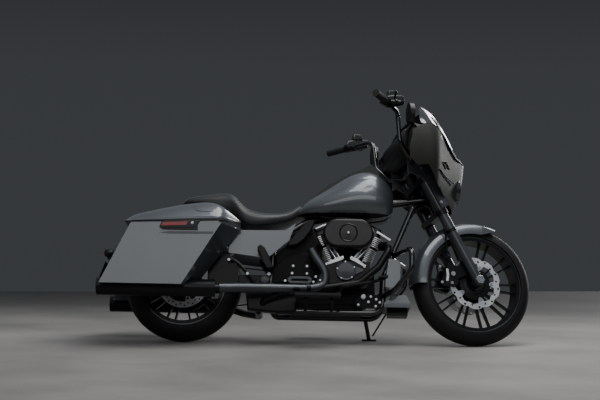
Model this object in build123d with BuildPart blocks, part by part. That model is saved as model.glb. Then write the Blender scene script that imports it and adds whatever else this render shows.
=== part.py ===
from build123d import *
import os
from math import atan2, cos, degrees, radians, sin, sqrt, tan

os.makedirs("parts", exist_ok=True)

# A touring motorcycle with a fork-mounted fairing and hard saddlebags, parked on its side stand.
# Every piece is drawn on the upright machine with straight steering: X forward from the rear axle,
# Y to the left, Z up from the ground. Then the steered pieces are turned to the left stop, the whole
# machine leans onto its stand, and the origin moves to the middle of its footprint.

# ---- Chassis layout, millimetres and degrees ----
WHEELBASE = 1625.0
RAKE = 26.0
TRAIL = 185.0
FORK_ANGLE = 28.5
LEAN = 12.0
STEER = 16.0
ORIGIN_X = 741.8
ORIGIN_Y = 156.0

# ---- Wheels ----
FRONT_RADIUS = 344.7
FRONT_HALF = 65.0
FRONT_SEAT = 266.7
FRONT_SEAT_HALF = 44.0
REAR_RADIUS = 327.5
REAR_HALF = 86.0
REAR_SEAT = 228.6
REAR_SEAT_HALF = 70.0
BARREL = 13.0
LIP = 8.0
SPOKE_PAIRS = 10
# Each pair's spokes: low and high edge at the hub, low and high edge at the rim.
SPOKES = [(4, 16, 20, 30), (-16, -4, -30, -20)]
ROOT = 5.0
AXLE_R = 12.5
RUN_FIT = 0.1
DISC_R = 150.0
DISC_T = 5.0
FRONT_DISC_FACE = 63.0
REAR_DISC_FACE = 83.0
DISC_LOBES = 10
PAD_GAP = 2.0
DISC_ROOM = 3.0
FENDER_T = 4.0

# ---- Fork and steering head ----
FORK_Y = 120.0
SLIDER_R = 29.0
SLIDER_TOP = 318.0
TUBE_R = 24.5
TUBE_TOP = 700.0
CLAMP_T = 30.0
LOWER_CLAMP = 829.0
UPPER_CLAMP = 1040.0
STEM_R = 15.0
STEM_FIT = 0.3
HEAD_R = 36.0
CLEAR = 5.0

# ---- Bars ----
BAR_R = 12.7
GRIP_R = 20.0
GRIP_LENGTH = 125.0

# ---- Frame ----
RAIL_R = 16.0
RAIL_Y = 115.0
RAIL_Z = 165.0
GUARD_R = 15.9

# ---- Engine ----
CRANK_X = 920.0
CRANK_Z = 350.0
VEE = 45.0
BARREL_R = 62.0
FIN_R = 80.0
FIN_COUNT = 12
FIN_PITCH = 10.5
FIN_T = 4.5
CYLINDER_BASE = 100.0
HEAD_BASE = 232.0
HEAD_TOP = 300.0
ROCKER_TOP = 350.0

# ---- Saddlebags ----
BAG_OUT = 430.0
BAG_IN = 218.0
BAG_FLOOR = 262.0
BAG_RIM = 604.0
BAG_WALL = 4.0
LID_GAP = 0.3
MUFFLER_Y = 330.0
MUFFLER_Z = 257.0
MUFFLER_R = 48.0

STEERING_FOOT = (WHEELBASE + TRAIL, 0, 0)
STEERING_DIR = Vector(-sin(radians(RAKE)), 0, cos(radians(RAKE)))
STEERING_AXIS = Axis(STEERING_FOOT, STEERING_DIR)
FORK_DIR = Vector(-sin(radians(FORK_ANGLE)), 0, cos(radians(FORK_ANGLE)))
FRONT_AXLE = Vector(WHEELBASE, 0, FRONT_RADIUS)
REAR_AXLE = Vector(0, 0, REAR_RADIUS)


def lowest_point(centre_z, axle_z, radius, half):
    """Height of the lowest point of a round-crowned tyre whose axle tilts out of the level."""
    return centre_z - (radius - half) * sqrt(1 - axle_z**2) - half


def nose_drop():
    """Pitch in degrees that brings the turned front tyre and the rear tyre to one level."""
    rake, turn, lean = radians(RAKE), radians(STEER), radians(LEAN)
    along = TRAIL * sin(rake) + FRONT_RADIUS * cos(rake)
    offset = FRONT_RADIUS * sin(rake) - TRAIL * cos(rake)
    centre_y = offset * sin(turn)
    centre_z = FRONT_RADIUS * cos(turn) + cos(rake) * along * (1 - cos(turn))
    centre_x = WHEELBASE + TRAIL * (1 - cos(turn)) - sin(rake) * along * (1 - cos(turn))
    front_z = centre_z * cos(lean) - centre_y * sin(lean)
    axle_z = -cos(turn) * sin(lean) - sin(rake) * sin(turn) * cos(lean)
    front = lowest_point(front_z, axle_z, FRONT_RADIUS, FRONT_HALF)
    rear = lowest_point(REAR_RADIUS * cos(lean), sin(lean), REAR_RADIUS, REAR_HALF)
    contact_x = centre_x + (FRONT_RADIUS - FRONT_HALF) * sin(turn) * axle_z**2
    return degrees(atan2(front - rear, contact_x)), -rear


NOSE_DOWN, LIFT = nose_drop()
PARKED = Pos(-ORIGIN_X, -ORIGIN_Y, LIFT) * Rot(0, NOSE_DOWN, 0) * Rot(-LEAN, 0, 0)


def finish(piece, label, steered=False):
    """Label a piece, put it where the parked machine has it, and write it."""
    solid = piece.part
    if steered:
        solid = solid.rotate(STEERING_AXIS, STEER)
    placed = PARKED * solid
    placed.label = label
    export_step(placed, f"parts/{label}.step")


def side(y):
    """The upright plane at a given Y, whose local axes are X and Z."""
    return Plane.XZ.offset(-y)


def on_fork(distance, y=0.0):
    """A point on a fork leg, a distance up from the front axle."""
    return Vector(FRONT_AXLE.X, y, FRONT_AXLE.Z) + FORK_DIR * distance


def on_head(distance):
    """A point on the steering axis, a distance up from the ground."""
    return Vector(*STEERING_FOOT) + STEERING_DIR * distance


def pipe(points, radius, bend=0.0, bore=0.0):
    """A round bar, or a tube if it has a bore, along straight runs joined by arcs."""
    with BuildPart() as run:
        with BuildLine():
            route = FilletPolyline(*points, radius=bend) if len(points) > 2 else Line(*points)
        with BuildSketch(Plane(origin=route @ 0, z_dir=route % 0)):
            Circle(radius)
            if bore:
                Circle(bore, mode=Mode.SUBTRACT)
        sweep()
    return run.part


def slab(outline, y_from, y_to):
    """A flat-sided plate: an outline of X, Z points between two values of Y."""
    with BuildPart() as plate:
        with BuildSketch(side(y_from)):
            with BuildLine():
                Polyline(*outline, close=True)
            make_face()
        extrude(amount=y_from - y_to)
    return plate.part


def across(centre, radius, y_from, y_to):
    """A round bar parallel to Y through the X and Z of a point."""
    with BuildPart() as bar:
        with BuildSketch(side(y_from)):
            with Locations((centre.X, centre.Z)):
                Circle(radius)
        extrude(amount=y_from - y_to)
    return bar.part


def rounded_plate(discs, y_from, y_to):
    """A plate parallel to the side view, the hull of discs given as X, Z, radius."""
    with BuildPart() as plate:
        with BuildSketch(side(y_from)):
            for x, z, radius in discs:
                with Locations((x, z)):
                    Circle(radius)
            make_hull()
        extrude(amount=y_from - y_to)
    return plate.part


# ---- Wheels, tyres and discs ----


def tyre_ring(radius, half, seat, seat_half):
    """A tyre about its own axle, with a round crown that ends just above the rim's lips."""
    shoulder = radius - half
    with BuildPart() as ring:
        with BuildSketch(Plane.YZ):
            with BuildLine():
                ThreePointArc((-half, shoulder), (0, radius), (half, shoulder))
                Polyline(
                    (half, shoulder),
                    (seat_half, shoulder - 1),
                    (seat_half, seat),
                    (-seat_half, seat),
                    (-seat_half, shoulder - 1),
                    (-half, shoulder),
                )
            make_face()
        revolve(axis=Axis.Y)
    return ring.part


def spoked_wheel(radius, half, seat, seat_half, hub_r, hub_half, spoke_half, flanges):
    """A cast wheel about its own axle: barrel, paired spokes, hub and the flanges that carry discs."""
    lip_r = radius - half - 2
    barrel_r = seat - BARREL
    edge = seat_half + LIP
    with BuildPart() as wheel:
        with BuildSketch(Plane.YZ):
            with BuildLine():
                Polyline(
                    (-edge, barrel_r),
                    (edge, barrel_r),
                    (edge, lip_r),
                    (seat_half, lip_r),
                    (seat_half, seat),
                    (-seat_half, seat),
                    (-seat_half, lip_r),
                    (-edge, lip_r),
                    close=True,
                )
            make_face()
        revolve(axis=Axis.Y)
        with BuildSketch(Plane.XZ):
            with PolarLocations(0, SPOKE_PAIRS):
                for hub_low, hub_high, rim_low, rim_high in SPOKES:
                    Polygon(
                        (hub_r - ROOT, hub_low),
                        (barrel_r + ROOT, rim_low),
                        (barrel_r + ROOT, rim_high),
                        (hub_r - ROOT, hub_high),
                        align=None,
                    )
        extrude(amount=spoke_half, both=True)
        with BuildSketch(Plane.XZ):
            Circle(hub_r)
        extrude(amount=hub_half, both=True)
        for flange_r, flange_from, flange_to in flanges:
            with BuildSketch(Plane.XZ.offset(flange_from)):
                Circle(flange_r)
            extrude(amount=flange_to - flange_from)
        with BuildSketch(Plane.XZ.offset(-hub_half - 50)):
            Circle(AXLE_R + RUN_FIT)
        extrude(amount=2 * hub_half + 100, mode=Mode.SUBTRACT)
    return wheel.part


def brake_disc(face, inner_r, lobes, side_sign):
    """A drilled disc about its own axle, its outer edge scalloped if it has lobes."""
    with BuildPart() as disc:
        with BuildSketch(Plane.XZ.offset(face * side_sign)):
            Circle(DISC_R)
            Circle(inner_r, mode=Mode.SUBTRACT)
            if lobes:
                with PolarLocations(DISC_R + 16, lobes, start_angle=180 / lobes):
                    Circle(24, mode=Mode.SUBTRACT)
                with PolarLocations(102, lobes, start_angle=180 / lobes):
                    Circle(13, mode=Mode.SUBTRACT)
            with PolarLocations(DISC_R - 17, 20):
                Circle(4, mode=Mode.SUBTRACT)
        extrude(amount=DISC_T * side_sign)
    return disc.part


def fender_arc(crown_r, half, shoulder_r, skirt_r, front, rear):
    """A fender about its own wheel's axle, from one angle above the forward level to another."""
    with BuildPart() as shell:
        with BuildSketch(Plane.YZ):
            with BuildLine():
                for inset in (0, FENDER_T):
                    Line((-half + inset, skirt_r), (-half + inset, shoulder_r))
                    ThreePointArc(
                        (-half + inset, shoulder_r), (0, crown_r - inset), (half - inset, shoulder_r)
                    )
                    Line((half - inset, shoulder_r), (half - inset, skirt_r))
                Line((-half, skirt_r), (-half + FENDER_T, skirt_r))
                Line((half, skirt_r), (half - FENDER_T, skirt_r))
            make_face()
        revolve(axis=Axis.Y, revolution_arc=rear - front)
    return Rot(0, 90 - rear, 0) * shell.part


def caliper(axle, angle, y_from, y_to, disc_face):
    """A caliper on the right side of a disc, at an angle above the forward level."""
    along = Vector(cos(radians(angle)), 0, sin(radians(angle)))
    with BuildPart() as body:
        centre = axle + along * (DISC_R - 4)
        with BuildSketch(Plane(origin=(centre.X, y_from, centre.Z), x_dir=along, z_dir=(0, -1, 0))):
            RectangleRounded(80, 118, 14)
        extrude(amount=y_from - y_to)
        slot_from = disc_face - DISC_T - PAD_GAP
        add(across(axle, DISC_R + DISC_ROOM, slot_from, disc_face + PAD_GAP), mode=Mode.SUBTRACT)
    return body.part


at_front_axle = Pos(*FRONT_AXLE)
at_rear_axle = Pos(*REAR_AXLE)

with BuildPart() as front_tyre:
    add(at_front_axle * tyre_ring(FRONT_RADIUS, FRONT_HALF, FRONT_SEAT, FRONT_SEAT_HALF))
finish(front_tyre, "front_tyre", steered=True)

FLANGE_T = 8.0
FRONT_FLANGE_R = 74.0
FRONT_HUB_R = 40.0
FRONT_SPOKE_HALF = 12.0
front_flanges = [
    (FRONT_FLANGE_R, FRONT_DISC_FACE - FLANGE_T, FRONT_DISC_FACE),
    (FRONT_FLANGE_R, -FRONT_DISC_FACE, FLANGE_T - FRONT_DISC_FACE),
]
with BuildPart() as front_wheel:
    add(
        at_front_axle
        * spoked_wheel(
            FRONT_RADIUS,
            FRONT_HALF,
            FRONT_SEAT,
            FRONT_SEAT_HALF,
            FRONT_HUB_R,
            FRONT_DISC_FACE,
            FRONT_SPOKE_HALF,
            front_flanges,
        )
    )
finish(front_wheel, "front_wheel", steered=True)

with BuildPart() as front_discs:
    for side_sign in (-1, 1):
        add(at_front_axle * brake_disc(FRONT_DISC_FACE, FRONT_FLANGE_R - FLANGE_T, DISC_LOBES, side_sign))
finish(front_discs, "front_discs", steered=True)

with BuildPart() as rear_tyre:
    add(at_rear_axle * tyre_ring(REAR_RADIUS, REAR_HALF, REAR_SEAT, REAR_SEAT_HALF))
finish(rear_tyre, "rear_tyre")

REAR_FLANGE_R = 70.0
REAR_HUB_R = 44.0
REAR_SPOKE_HALF = 20.0
PULLEY_R = 145.0
PULLEY_FACE = 91.5
BELT_T = 5.0
BELT_OUT = 110.0
rear_flanges = [
    (REAR_FLANGE_R, REAR_DISC_FACE - 4 * FLANGE_T, REAR_DISC_FACE),
    (REAR_FLANGE_R, -PULLEY_FACE, 4 * FLANGE_T - REAR_DISC_FACE),
]
with BuildPart() as rear_wheel:
    add(
        at_rear_axle
        * spoked_wheel(
            REAR_RADIUS,
            REAR_HALF,
            REAR_SEAT,
            REAR_SEAT_HALF,
            REAR_HUB_R,
            REAR_DISC_FACE,
            REAR_SPOKE_HALF,
            rear_flanges,
        )
    )
finish(rear_wheel, "rear_wheel")

with BuildPart() as rear_disc:
    add(at_rear_axle * brake_disc(REAR_DISC_FACE, REAR_FLANGE_R - FLANGE_T, 0, 1))
finish(rear_disc, "rear_disc")

with BuildPart() as rear_pulley:
    with BuildSketch(side(PULLEY_FACE)):
        with Locations((REAR_AXLE.X, REAR_AXLE.Z)):
            Circle(PULLEY_R)
            Circle(REAR_FLANGE_R - FLANGE_T, mode=Mode.SUBTRACT)
            with PolarLocations((PULLEY_R + REAR_FLANGE_R) / 2, 5):
                Circle(24, mode=Mode.SUBTRACT)
    extrude(amount=PULLEY_FACE - BELT_OUT)
finish(rear_pulley, "rear_pulley")

# ---- Fork legs, clamps and covers, steered ----

AXLE_END = 158.0
with BuildPart() as front_axle:
    add(across(FRONT_AXLE, AXLE_R, -AXLE_END, AXLE_END))
finish(front_axle, "front_axle", steered=True)

with BuildPart() as fork_tubes:
    add(pipe([on_fork(SLIDER_TOP, -FORK_Y), on_fork(TUBE_TOP, -FORK_Y)], TUBE_R))
    mirror(about=Plane.XZ)
finish(fork_tubes, "fork_tubes", steered=True)

SLIDER_FOOT = -22.0
AXLE_LUG_R = 30.0
AXLE_LUG_HALF = 26.0
with BuildPart() as fork_sliders:
    add(pipe([on_fork(SLIDER_FOOT, -FORK_Y), on_fork(SLIDER_TOP, -FORK_Y)], SLIDER_R))
    add(across(FRONT_AXLE, AXLE_LUG_R, -FORK_Y - AXLE_LUG_HALF, -FORK_Y + AXLE_LUG_HALF))
    mirror(about=Plane.XZ)
    add(front_axle.part, mode=Mode.SUBTRACT)
finish(fork_sliders, "fork_sliders", steered=True)

CLAMP_WALL = 12.0
RISER_HALF = 34.0
CLAMP_TOP = on_head(UPPER_CLAMP)
BAR_CENTRE = CLAMP_TOP + Vector(-92, 0, 50)
# Corners of the risers between the upper clamp and the bar, from the clamp's middle: X, Z.
RISER_CORNERS = [(-66, -31), (-12, -5), (-70, 79), (-114, 67)]
RISER = [(CLAMP_TOP.X + x, CLAMP_TOP.Z + z) for x, z in RISER_CORNERS]
CLAMP_X = Vector(cos(radians(RAKE)), 0, sin(radians(RAKE)))
with BuildPart() as triple_clamps:
    for height in (LOWER_CLAMP, UPPER_CLAMP):
        centre = on_head(height)
        reach = (centre - FRONT_AXLE).dot(STEERING_DIR) / FORK_DIR.dot(STEERING_DIR)
        back = (on_fork(reach) - centre).dot(CLAMP_X)
        underside = centre - STEERING_DIR * CLAMP_T / 2
        with BuildSketch(Plane(origin=underside, x_dir=CLAMP_X, z_dir=STEERING_DIR)):
            with Locations((0, 0), (back, FORK_Y), (back, -FORK_Y)):
                Circle(TUBE_R + CLAMP_WALL)
            make_hull()
        extrude(amount=CLAMP_T)
    add(pipe([on_head(LOWER_CLAMP), on_head(UPPER_CLAMP)], STEM_R))
    add(slab(RISER, -RISER_HALF, RISER_HALF))
    add(across(BAR_CENTRE, BAR_R, -RISER_HALF, RISER_HALF), mode=Mode.SUBTRACT)
    for side_sign in (-1, 1):
        leg_y = side_sign * FORK_Y
        leg = pipe([on_fork(0, leg_y), on_fork(TUBE_TOP + CLAMP_T, leg_y)], TUBE_R)
        add(leg, mode=Mode.SUBTRACT)
finish(triple_clamps, "triple_clamps", steered=True)

# ---- Front fender and calipers, steered ----

FENDER_R = 366.0
FENDER_HALF = 85.0
FENDER_SHOULDER = 335.0
FENDER_SKIRT = 288.0
FENDER_FRONT = 64.0
FENDER_REAR = 184.0
FENDER_BRACKET = (222.0, 290.0)
with BuildPart() as front_fender:
    arc = fender_arc(FENDER_R, FENDER_HALF, FENDER_SHOULDER, FENDER_SKIRT, FENDER_FRONT, FENDER_REAR)
    add(at_front_axle * arc)
    with BuildSketch(side(-FORK_Y + SLIDER_R - 8)):
        with Locations(*[(on_fork(reach).X, on_fork(reach).Z) for reach in FENDER_BRACKET]):
            Circle(20)
        make_hull()
    extrude(amount=-(FENDER_T + FORK_Y - SLIDER_R + 8 - FENDER_HALF))
    mirror(about=Plane.XZ)
    add(fork_sliders.part, mode=Mode.SUBTRACT)
finish(front_fender, "front_fender", steered=True)

CALIPER_OUT = 94.0
CALIPER_IN = 46.0
with BuildPart() as front_calipers:
    add(caliper(FRONT_AXLE, 167, -CALIPER_OUT, -CALIPER_IN, -FRONT_DISC_FACE))
    with BuildSketch(side(-CALIPER_OUT - 4)):
        with Locations((on_fork(70).X, on_fork(70).Z), (on_fork(150).X, on_fork(150).Z)):
            Circle(12)
        with Locations((FRONT_AXLE.X - 118, FRONT_AXLE.Z + 27)):
            Circle(16)
        make_hull()
    extrude(amount=-16)
    mirror(about=Plane.XZ)
    add(fork_sliders.part, mode=Mode.SUBTRACT)
finish(front_calipers, "front_calipers", steered=True)

# ---- Handlebar, fairing, screen and lamp, steered ----

# The right half of the bar from its middle: X, Y, Z.
BAR_PATH = [
    (BAR_CENTRE.X, 0, BAR_CENTRE.Z),
    (BAR_CENTRE.X, -95, BAR_CENTRE.Z),
    (BAR_CENTRE.X - 50, -196, BAR_CENTRE.Z + 25),
    (1140, -232, 1090),
    (1125, -245, 1262),
    (1040, -355, 1262),
    (925, -491, 1258),
]
BAR_BENDS = [45, 45, 45, 45, 60]
BAR_END = Vector(*BAR_PATH[-1])
BAR_IN = (Vector(*BAR_PATH[-2]) - BAR_END).normalized()
bar_run = pipe(BAR_PATH, BAR_R, bend=BAR_BENDS)
with BuildPart() as handlebar:
    add(bar_run)
    mirror(about=Plane.XZ)
finish(handlebar, "handlebar", steered=True)

SKIN = 6.0
# Plan outlines of the fairing from the top down: height, half width at the rear, shoulder X and Y, nose X.
FAIRING_LEVELS = [
    (1230, 340, 1322, 296, 1608),
    (1110, 384, 1332, 314, 1630),
    (1010, 400, 1332, 316, 1624),
    (900, 388, 1330, 300, 1604),
    (740, 300, 1320, 232, 1536),
]
FAIRING_REAR = 1010.0
SHOULDER_BEND = 150.0
NOSE_BEND = 95.0
# The fairing's edge seen from the side: X, Z.
FAIRING_EDGE = [
    (1236, 1169),
    (1300, 1202),
    (1566, 1041),
    (1650, 1110),
    (1650, 690),
    (1352, 842),
    (1277, 890),
    (1212, 920),
    (1160, 955),
    (1155, 1013),
    (1181, 1112),
]


def fairing_core(inset):
    """The solid bounded by the fairing's skin, drawn in from its outside by the inset."""
    with BuildPart() as core:
        for height, rear_y, shoulder_x, shoulder_y, nose_x in FAIRING_LEVELS:
            with BuildSketch(Plane.XY.offset(height)):
                with BuildLine():
                    FilletPolyline(
                        (FAIRING_REAR, -rear_y + inset),
                        (shoulder_x - inset / 2, -shoulder_y + inset),
                        (nose_x - inset * 1.4, 0),
                        (shoulder_x - inset / 2, shoulder_y - inset),
                        (FAIRING_REAR, rear_y - inset),
                        radius=[SHOULDER_BEND - inset, NOSE_BEND - inset, SHOULDER_BEND - inset],
                    )
                    Line((FAIRING_REAR, rear_y - inset), (FAIRING_REAR, -rear_y + inset))
                make_face()
        loft()
    return core.part


LAMP_R = 88.0
LAMP_Z = 905.0
LAMP_BACK = 1470.0
LAMP_FRONT = 1548.0
OUTER_WIDE = 450.0
outer_core = fairing_core(0)
inner_core = fairing_core(SKIN)
with BuildPart() as headlight:
    with BuildSketch(Plane.YZ.offset(LAMP_BACK)):
        with Locations((0, LAMP_Z)):
            Circle(LAMP_R)
    extrude(amount=LAMP_FRONT - LAMP_BACK)
finish(headlight, "headlight", steered=True)

with BuildPart() as fairing:
    add(slab(FAIRING_EDGE, -OUTER_WIDE, OUTER_WIDE))
    add(outer_core, mode=Mode.INTERSECT)
    add(inner_core, mode=Mode.SUBTRACT)
    add(headlight.part, mode=Mode.SUBTRACT)
finish(fairing, "fairing", steered=True)

POD_IN = 276.0
DASH_HALF = 205.0
# Corners of each side pod, of the dash between them and of the deck under the screen: X, Z.
POD = [(1196, 1174), (1180, 1112), (1172, 1030), (1200, 1003), (1250, 1003), (1250, 1168)]
DASH = [(1178, 1180), (1172, 1060), (1225, 1030), (1330, 1045), (1330, 1150), (1260, 1186)]
DECK = [
    (1185, 1176),
    (1236, 1169),
    (1300, 1202),
    (1640, 996),
    (1636, 988),
    (1300, 1192),
    (1236, 1159),
    (1185, 1166),
]
with BuildPart() as inner_fairing:
    for pod_sign in (-1, 1):
        add(slab(POD, pod_sign * POD_IN, pod_sign * OUTER_WIDE))
    add(slab(DASH, -DASH_HALF, DASH_HALF))
    add(slab(DECK, -OUTER_WIDE, OUTER_WIDE))
    add(inner_core, mode=Mode.INTERSECT)
    add(handlebar.part, mode=Mode.SUBTRACT)
    add(triple_clamps.part, mode=Mode.SUBTRACT)
finish(inner_fairing, "inner_fairing", steered=True)

COVER_R = 30.0
COVER_TOP = 421.0
SHROUD_T = 4.0
# Corners of the flat plate over each fork tube: X, Z.
SHROUD = [(1262, 1006), (1360, 1010), (1447, 765), (1405, 741)]
with BuildPart() as fork_covers:
    add(pipe([on_fork(SLIDER_TOP + 1, -FORK_Y), on_fork(COVER_TOP, -FORK_Y)], COVER_R, bore=TUBE_R))
    shroud_y = -FORK_Y - TUBE_R - CLAMP_WALL
    add(slab(SHROUD, shroud_y - SHROUD_T, shroud_y))
    mirror(about=Plane.XZ)
    for neighbour in (triple_clamps, fairing, inner_fairing):
        add(neighbour.part, mode=Mode.SUBTRACT)
finish(fork_covers, "fork_covers", steered=True)

SCREEN_T = 4.0
# The screen's plan outline at the nose's height: X, Y, bend.
SCREEN_PLAN = [(1292, -328), (1444, -240), (1592, 0), (1444, 240), (1292, 328)]
SCREEN_BENDS = (150, 110, 150)
SCREEN_BASE = 1041.0
SCREEN_TOP = 1381.0
SCREEN_SHOULDER = 1165.0
# Corners of the room that the screen is cut to, seen from the side: X, Z.
SCREEN_SIDE = [
    (1566, 1041),
    (1300, 1202),
    (1236, 1169),
    (1180, 1169),
    (1180, 1500),
    (1640, 1500),
    (1640, 1075),
    (1604, 1075),
]
SCREEN_RUN = Vector(-160, 0, 340).normalized()
with BuildPart() as windscreen:
    with BuildSketch(Plane.XY.offset(SCREEN_BASE)):
        for inset, cut in ((0, Mode.ADD), (SCREEN_T, Mode.SUBTRACT)):
            with BuildLine():
                corners = [
                    (x - inset * (1.5 if y == 0 else 0.5), y - inset * ((y > 0) - (y < 0)))
                    for x, y in SCREEN_PLAN
                ]
                FilletPolyline(*corners, radius=[bend - inset for bend in SCREEN_BENDS])
                Line(corners[-1], corners[0])
            make_face(mode=cut)
    extrude(amount=SCREEN_TOP - SCREEN_BASE + 60, dir=SCREEN_RUN)
    add(slab(SCREEN_SIDE, -OUTER_WIDE, OUTER_WIDE), mode=Mode.INTERSECT)
    with BuildSketch(Plane.YZ.offset(1100)):
        with BuildLine():
            ThreePointArc((-330, SCREEN_SHOULDER), (0, SCREEN_TOP), (330, SCREEN_SHOULDER))
            Polyline((330, SCREEN_SHOULDER), (330, 1000), (-330, 1000), (-330, SCREEN_SHOULDER))
        make_face()
    extrude(amount=600, mode=Mode.INTERSECT)
    add(fairing.part, mode=Mode.SUBTRACT)
finish(windscreen, "windscreen", steered=True)

# ---- Bars, controls and mirrors, steered ----

with BuildPart() as grips:
    add(pipe([BAR_END - BAR_IN * 4, BAR_END + BAR_IN * GRIP_LENGTH], GRIP_R))
    add(bar_run, mode=Mode.SUBTRACT)
    mirror(about=Plane.XZ)
finish(grips, "grips", steered=True)

HOUSING_R = 26.0
HOUSING_LENGTH = 52.0
LEVER_R = 5.5
LEVER_BALL_R = 9.0
housing_from = BAR_END + BAR_IN * (GRIP_LENGTH + 0.5)
housing_to = housing_from + BAR_IN * HOUSING_LENGTH
LEVER_PIVOT = (1092, -372, 1264)
LEVER_PATH = [LEVER_PIVOT, (1052, -425, 1263), (1044, -476, 1284)]
with BuildPart() as hand_controls:
    add(pipe([housing_from, housing_to], HOUSING_R))
    add(pipe([(housing_from + housing_to) / 2, Vector(*LEVER_PIVOT) + Vector(6, -8, 0)], 13))
    add(pipe(LEVER_PATH, LEVER_R, bend=30))
    with Locations(LEVER_PATH[-1]):
        Sphere(LEVER_BALL_R)
    add(bar_run, mode=Mode.SUBTRACT)
    mirror(about=Plane.XZ)
finish(hand_controls, "hand_controls", steered=True)

MIRROR_CENTRE = (1150, -352, 1242)
MIRROR_T = 26.0
MIRROR_SIZE = (48, 62)
MIRROR_STEM = [(1160, -352, 1200), (1216, -312, 1170)]
STEM_THICK = 8.0
with BuildPart() as mirrors:
    with BuildSketch(Plane.YZ.offset(MIRROR_CENTRE[0])):
        with Locations((MIRROR_CENTRE[1], MIRROR_CENTRE[2])):
            Ellipse(*MIRROR_SIZE)
    extrude(amount=MIRROR_T)
    add(pipe(MIRROR_STEM, STEM_THICK))
    mirror(about=Plane.XZ)
    add(fairing.part, mode=Mode.SUBTRACT)
    add(inner_fairing.part, mode=Mode.SUBTRACT)
finish(mirrors, "mirrors", steered=True)

# ---- Frame ----

BACKBONE_R = 25.0
UPRIGHT_Y = 70.0
BACKBONE = [on_head(940), (1180, 0, 815), (690, 0, 700)]
head_low = on_head(LOWER_CLAMP + CLAMP_T / 2 + CLEAR)
head_high = on_head(UPPER_CLAMP - CLAMP_T / 2 - CLEAR)
head_solid = pipe([head_low, head_high], HEAD_R)
with BuildPart() as frame_backbone:
    add(pipe(BACKBONE, BACKBONE_R, bend=150))
    add(head_solid)
    add(pipe([on_head(LOWER_CLAMP), on_head(UPPER_CLAMP)], STEM_R + STEM_FIT), mode=Mode.SUBTRACT)
finish(frame_backbone, "frame_backbone")

# The right cradle from the steering head down, back and up to the seat: X, Y, Z.
CRADLE = [
    (1395, -18, 830),
    (1290, -58, 785),
    (1174, -64, 502),
    (1128, -108, 380),
    (1120, -RAIL_Y, RAIL_Z),
    (505, -RAIL_Y, RAIL_Z),
    (500, -UPRIGHT_Y, 236),
    (500, -UPRIGHT_Y, 560),
    (690, -28, 698),
]
CRADLE_BENDS = [60, 60, 60, 70, 38, 38, 50]
PIVOT = Vector(462, 0, 336)
PIVOT_R = 12.0
ARM_IN = 116.0
ARM_OUT = 142.0
PIVOT_PLATE = [(PIVOT.X, PIVOT.Z, 28), (500, 302, 12), (500, 392, 12)]
cradle_run = pipe(CRADLE, RAIL_R, bend=CRADLE_BENDS)

# The side stand's hinge: the leg's top, and the foot's middle on the ground.
STAND_TOP = Vector(1030, 150, 184)
STAND_FOOT = Vector(1060, 226, 54)
STAND_FOLDED = Vector(-1, 0.12, 0.06).normalized()
STAND_AXIS = (STAND_FOOT - STAND_TOP).normalized().cross(STAND_FOLDED).normalized()
STAND_EYE_R = 17.0
STAND_EYE_HALF = 12.0
STAND_PIN_R = 6.0
STAND_FIT = 0.2


def stand_pin(radius, start, end):
    """A round solid along the side stand's hinge."""
    return pipe([STAND_TOP + STAND_AXIS * start, STAND_TOP + STAND_AXIS * end], radius)


with BuildPart() as frame_cradle_right:
    add(cradle_run)
    add(rounded_plate(PIVOT_PLATE, -ARM_IN, -UPRIGHT_Y))
    add(across(PIVOT, PIVOT_R, -ARM_OUT, ARM_OUT), mode=Mode.SUBTRACT)
    add(head_solid, mode=Mode.SUBTRACT)
    add(frame_backbone.part, mode=Mode.SUBTRACT)
finish(frame_cradle_right, "frame_cradle_right")

with BuildPart() as frame_cradle_left:
    add(mirror(frame_cradle_right.part, about=Plane.XZ, mode=Mode.PRIVATE))
    add(stand_pin(STAND_EYE_R + 1, -STAND_EYE_HALF - 18, -STAND_EYE_HALF - 1))
    add(stand_pin(STAND_PIN_R, -STAND_EYE_HALF - 2, STAND_EYE_HALF + 4))
finish(frame_cradle_left, "frame_cradle_left")

frame_parts = [frame_backbone.part, frame_cradle_right.part, frame_cradle_left.part]

FENDER_HALF_REAR = 115.0
REAR_RAIL_R = 13.0
REAR_RAIL_Y = 132.0
# The right rear rail from the cradle back: X, Y, Z.
REAR_RAIL_Z = 585.0
REAR_RAIL = [(500, -UPRIGHT_Y, 540), (410, -REAR_RAIL_Y, REAR_RAIL_Z), (-285, -REAR_RAIL_Y, REAR_RAIL_Z)]
REAR_RAIL_PADS = (-265, -90, 110)
with BuildPart() as rear_frame:
    add(pipe(REAR_RAIL, REAR_RAIL_R, bend=60))
    for x in REAR_RAIL_PADS:
        add(across(Vector(x, 0, REAR_RAIL_Z), 9, -REAR_RAIL_Y, -FENDER_HALF_REAR))
    mirror(about=Plane.XZ)
    for frame_part in frame_parts:
        add(frame_part, mode=Mode.SUBTRACT)
finish(rear_frame, "rear_frame")

# The right engine guard: X, Y, Z.
GUARD = [(1180, -62, 502), (1270, -336, 500), (1270, -336, 385), (1182, -300, 272), (1122, -112, 262)]
GUARD_BENDS = [50, 60, 50]
with BuildPart() as engine_guard:
    add(pipe(GUARD, GUARD_R, bend=GUARD_BENDS))
    mirror(about=Plane.XZ)
    for frame_part in frame_parts:
        add(frame_part, mode=Mode.SUBTRACT)
finish(engine_guard, "engine_guard")

# ---- Swingarm, shocks, rear axle and belt ----

AXLE_NUT_R = 20.0
ARM = [(PIVOT.X, PIVOT.Z, 30), (REAR_AXLE.X, REAR_AXLE.Z, 32)]
CROSS_TUBE_R = 24.0
with BuildPart() as rear_axle:
    add(across(REAR_AXLE, AXLE_R, -ARM_OUT, ARM_OUT))
    for end in (-1, 1):
        add(across(REAR_AXLE, AXLE_NUT_R, end * ARM_OUT, end * (ARM_OUT + 16)))
finish(rear_axle, "rear_axle")

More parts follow.
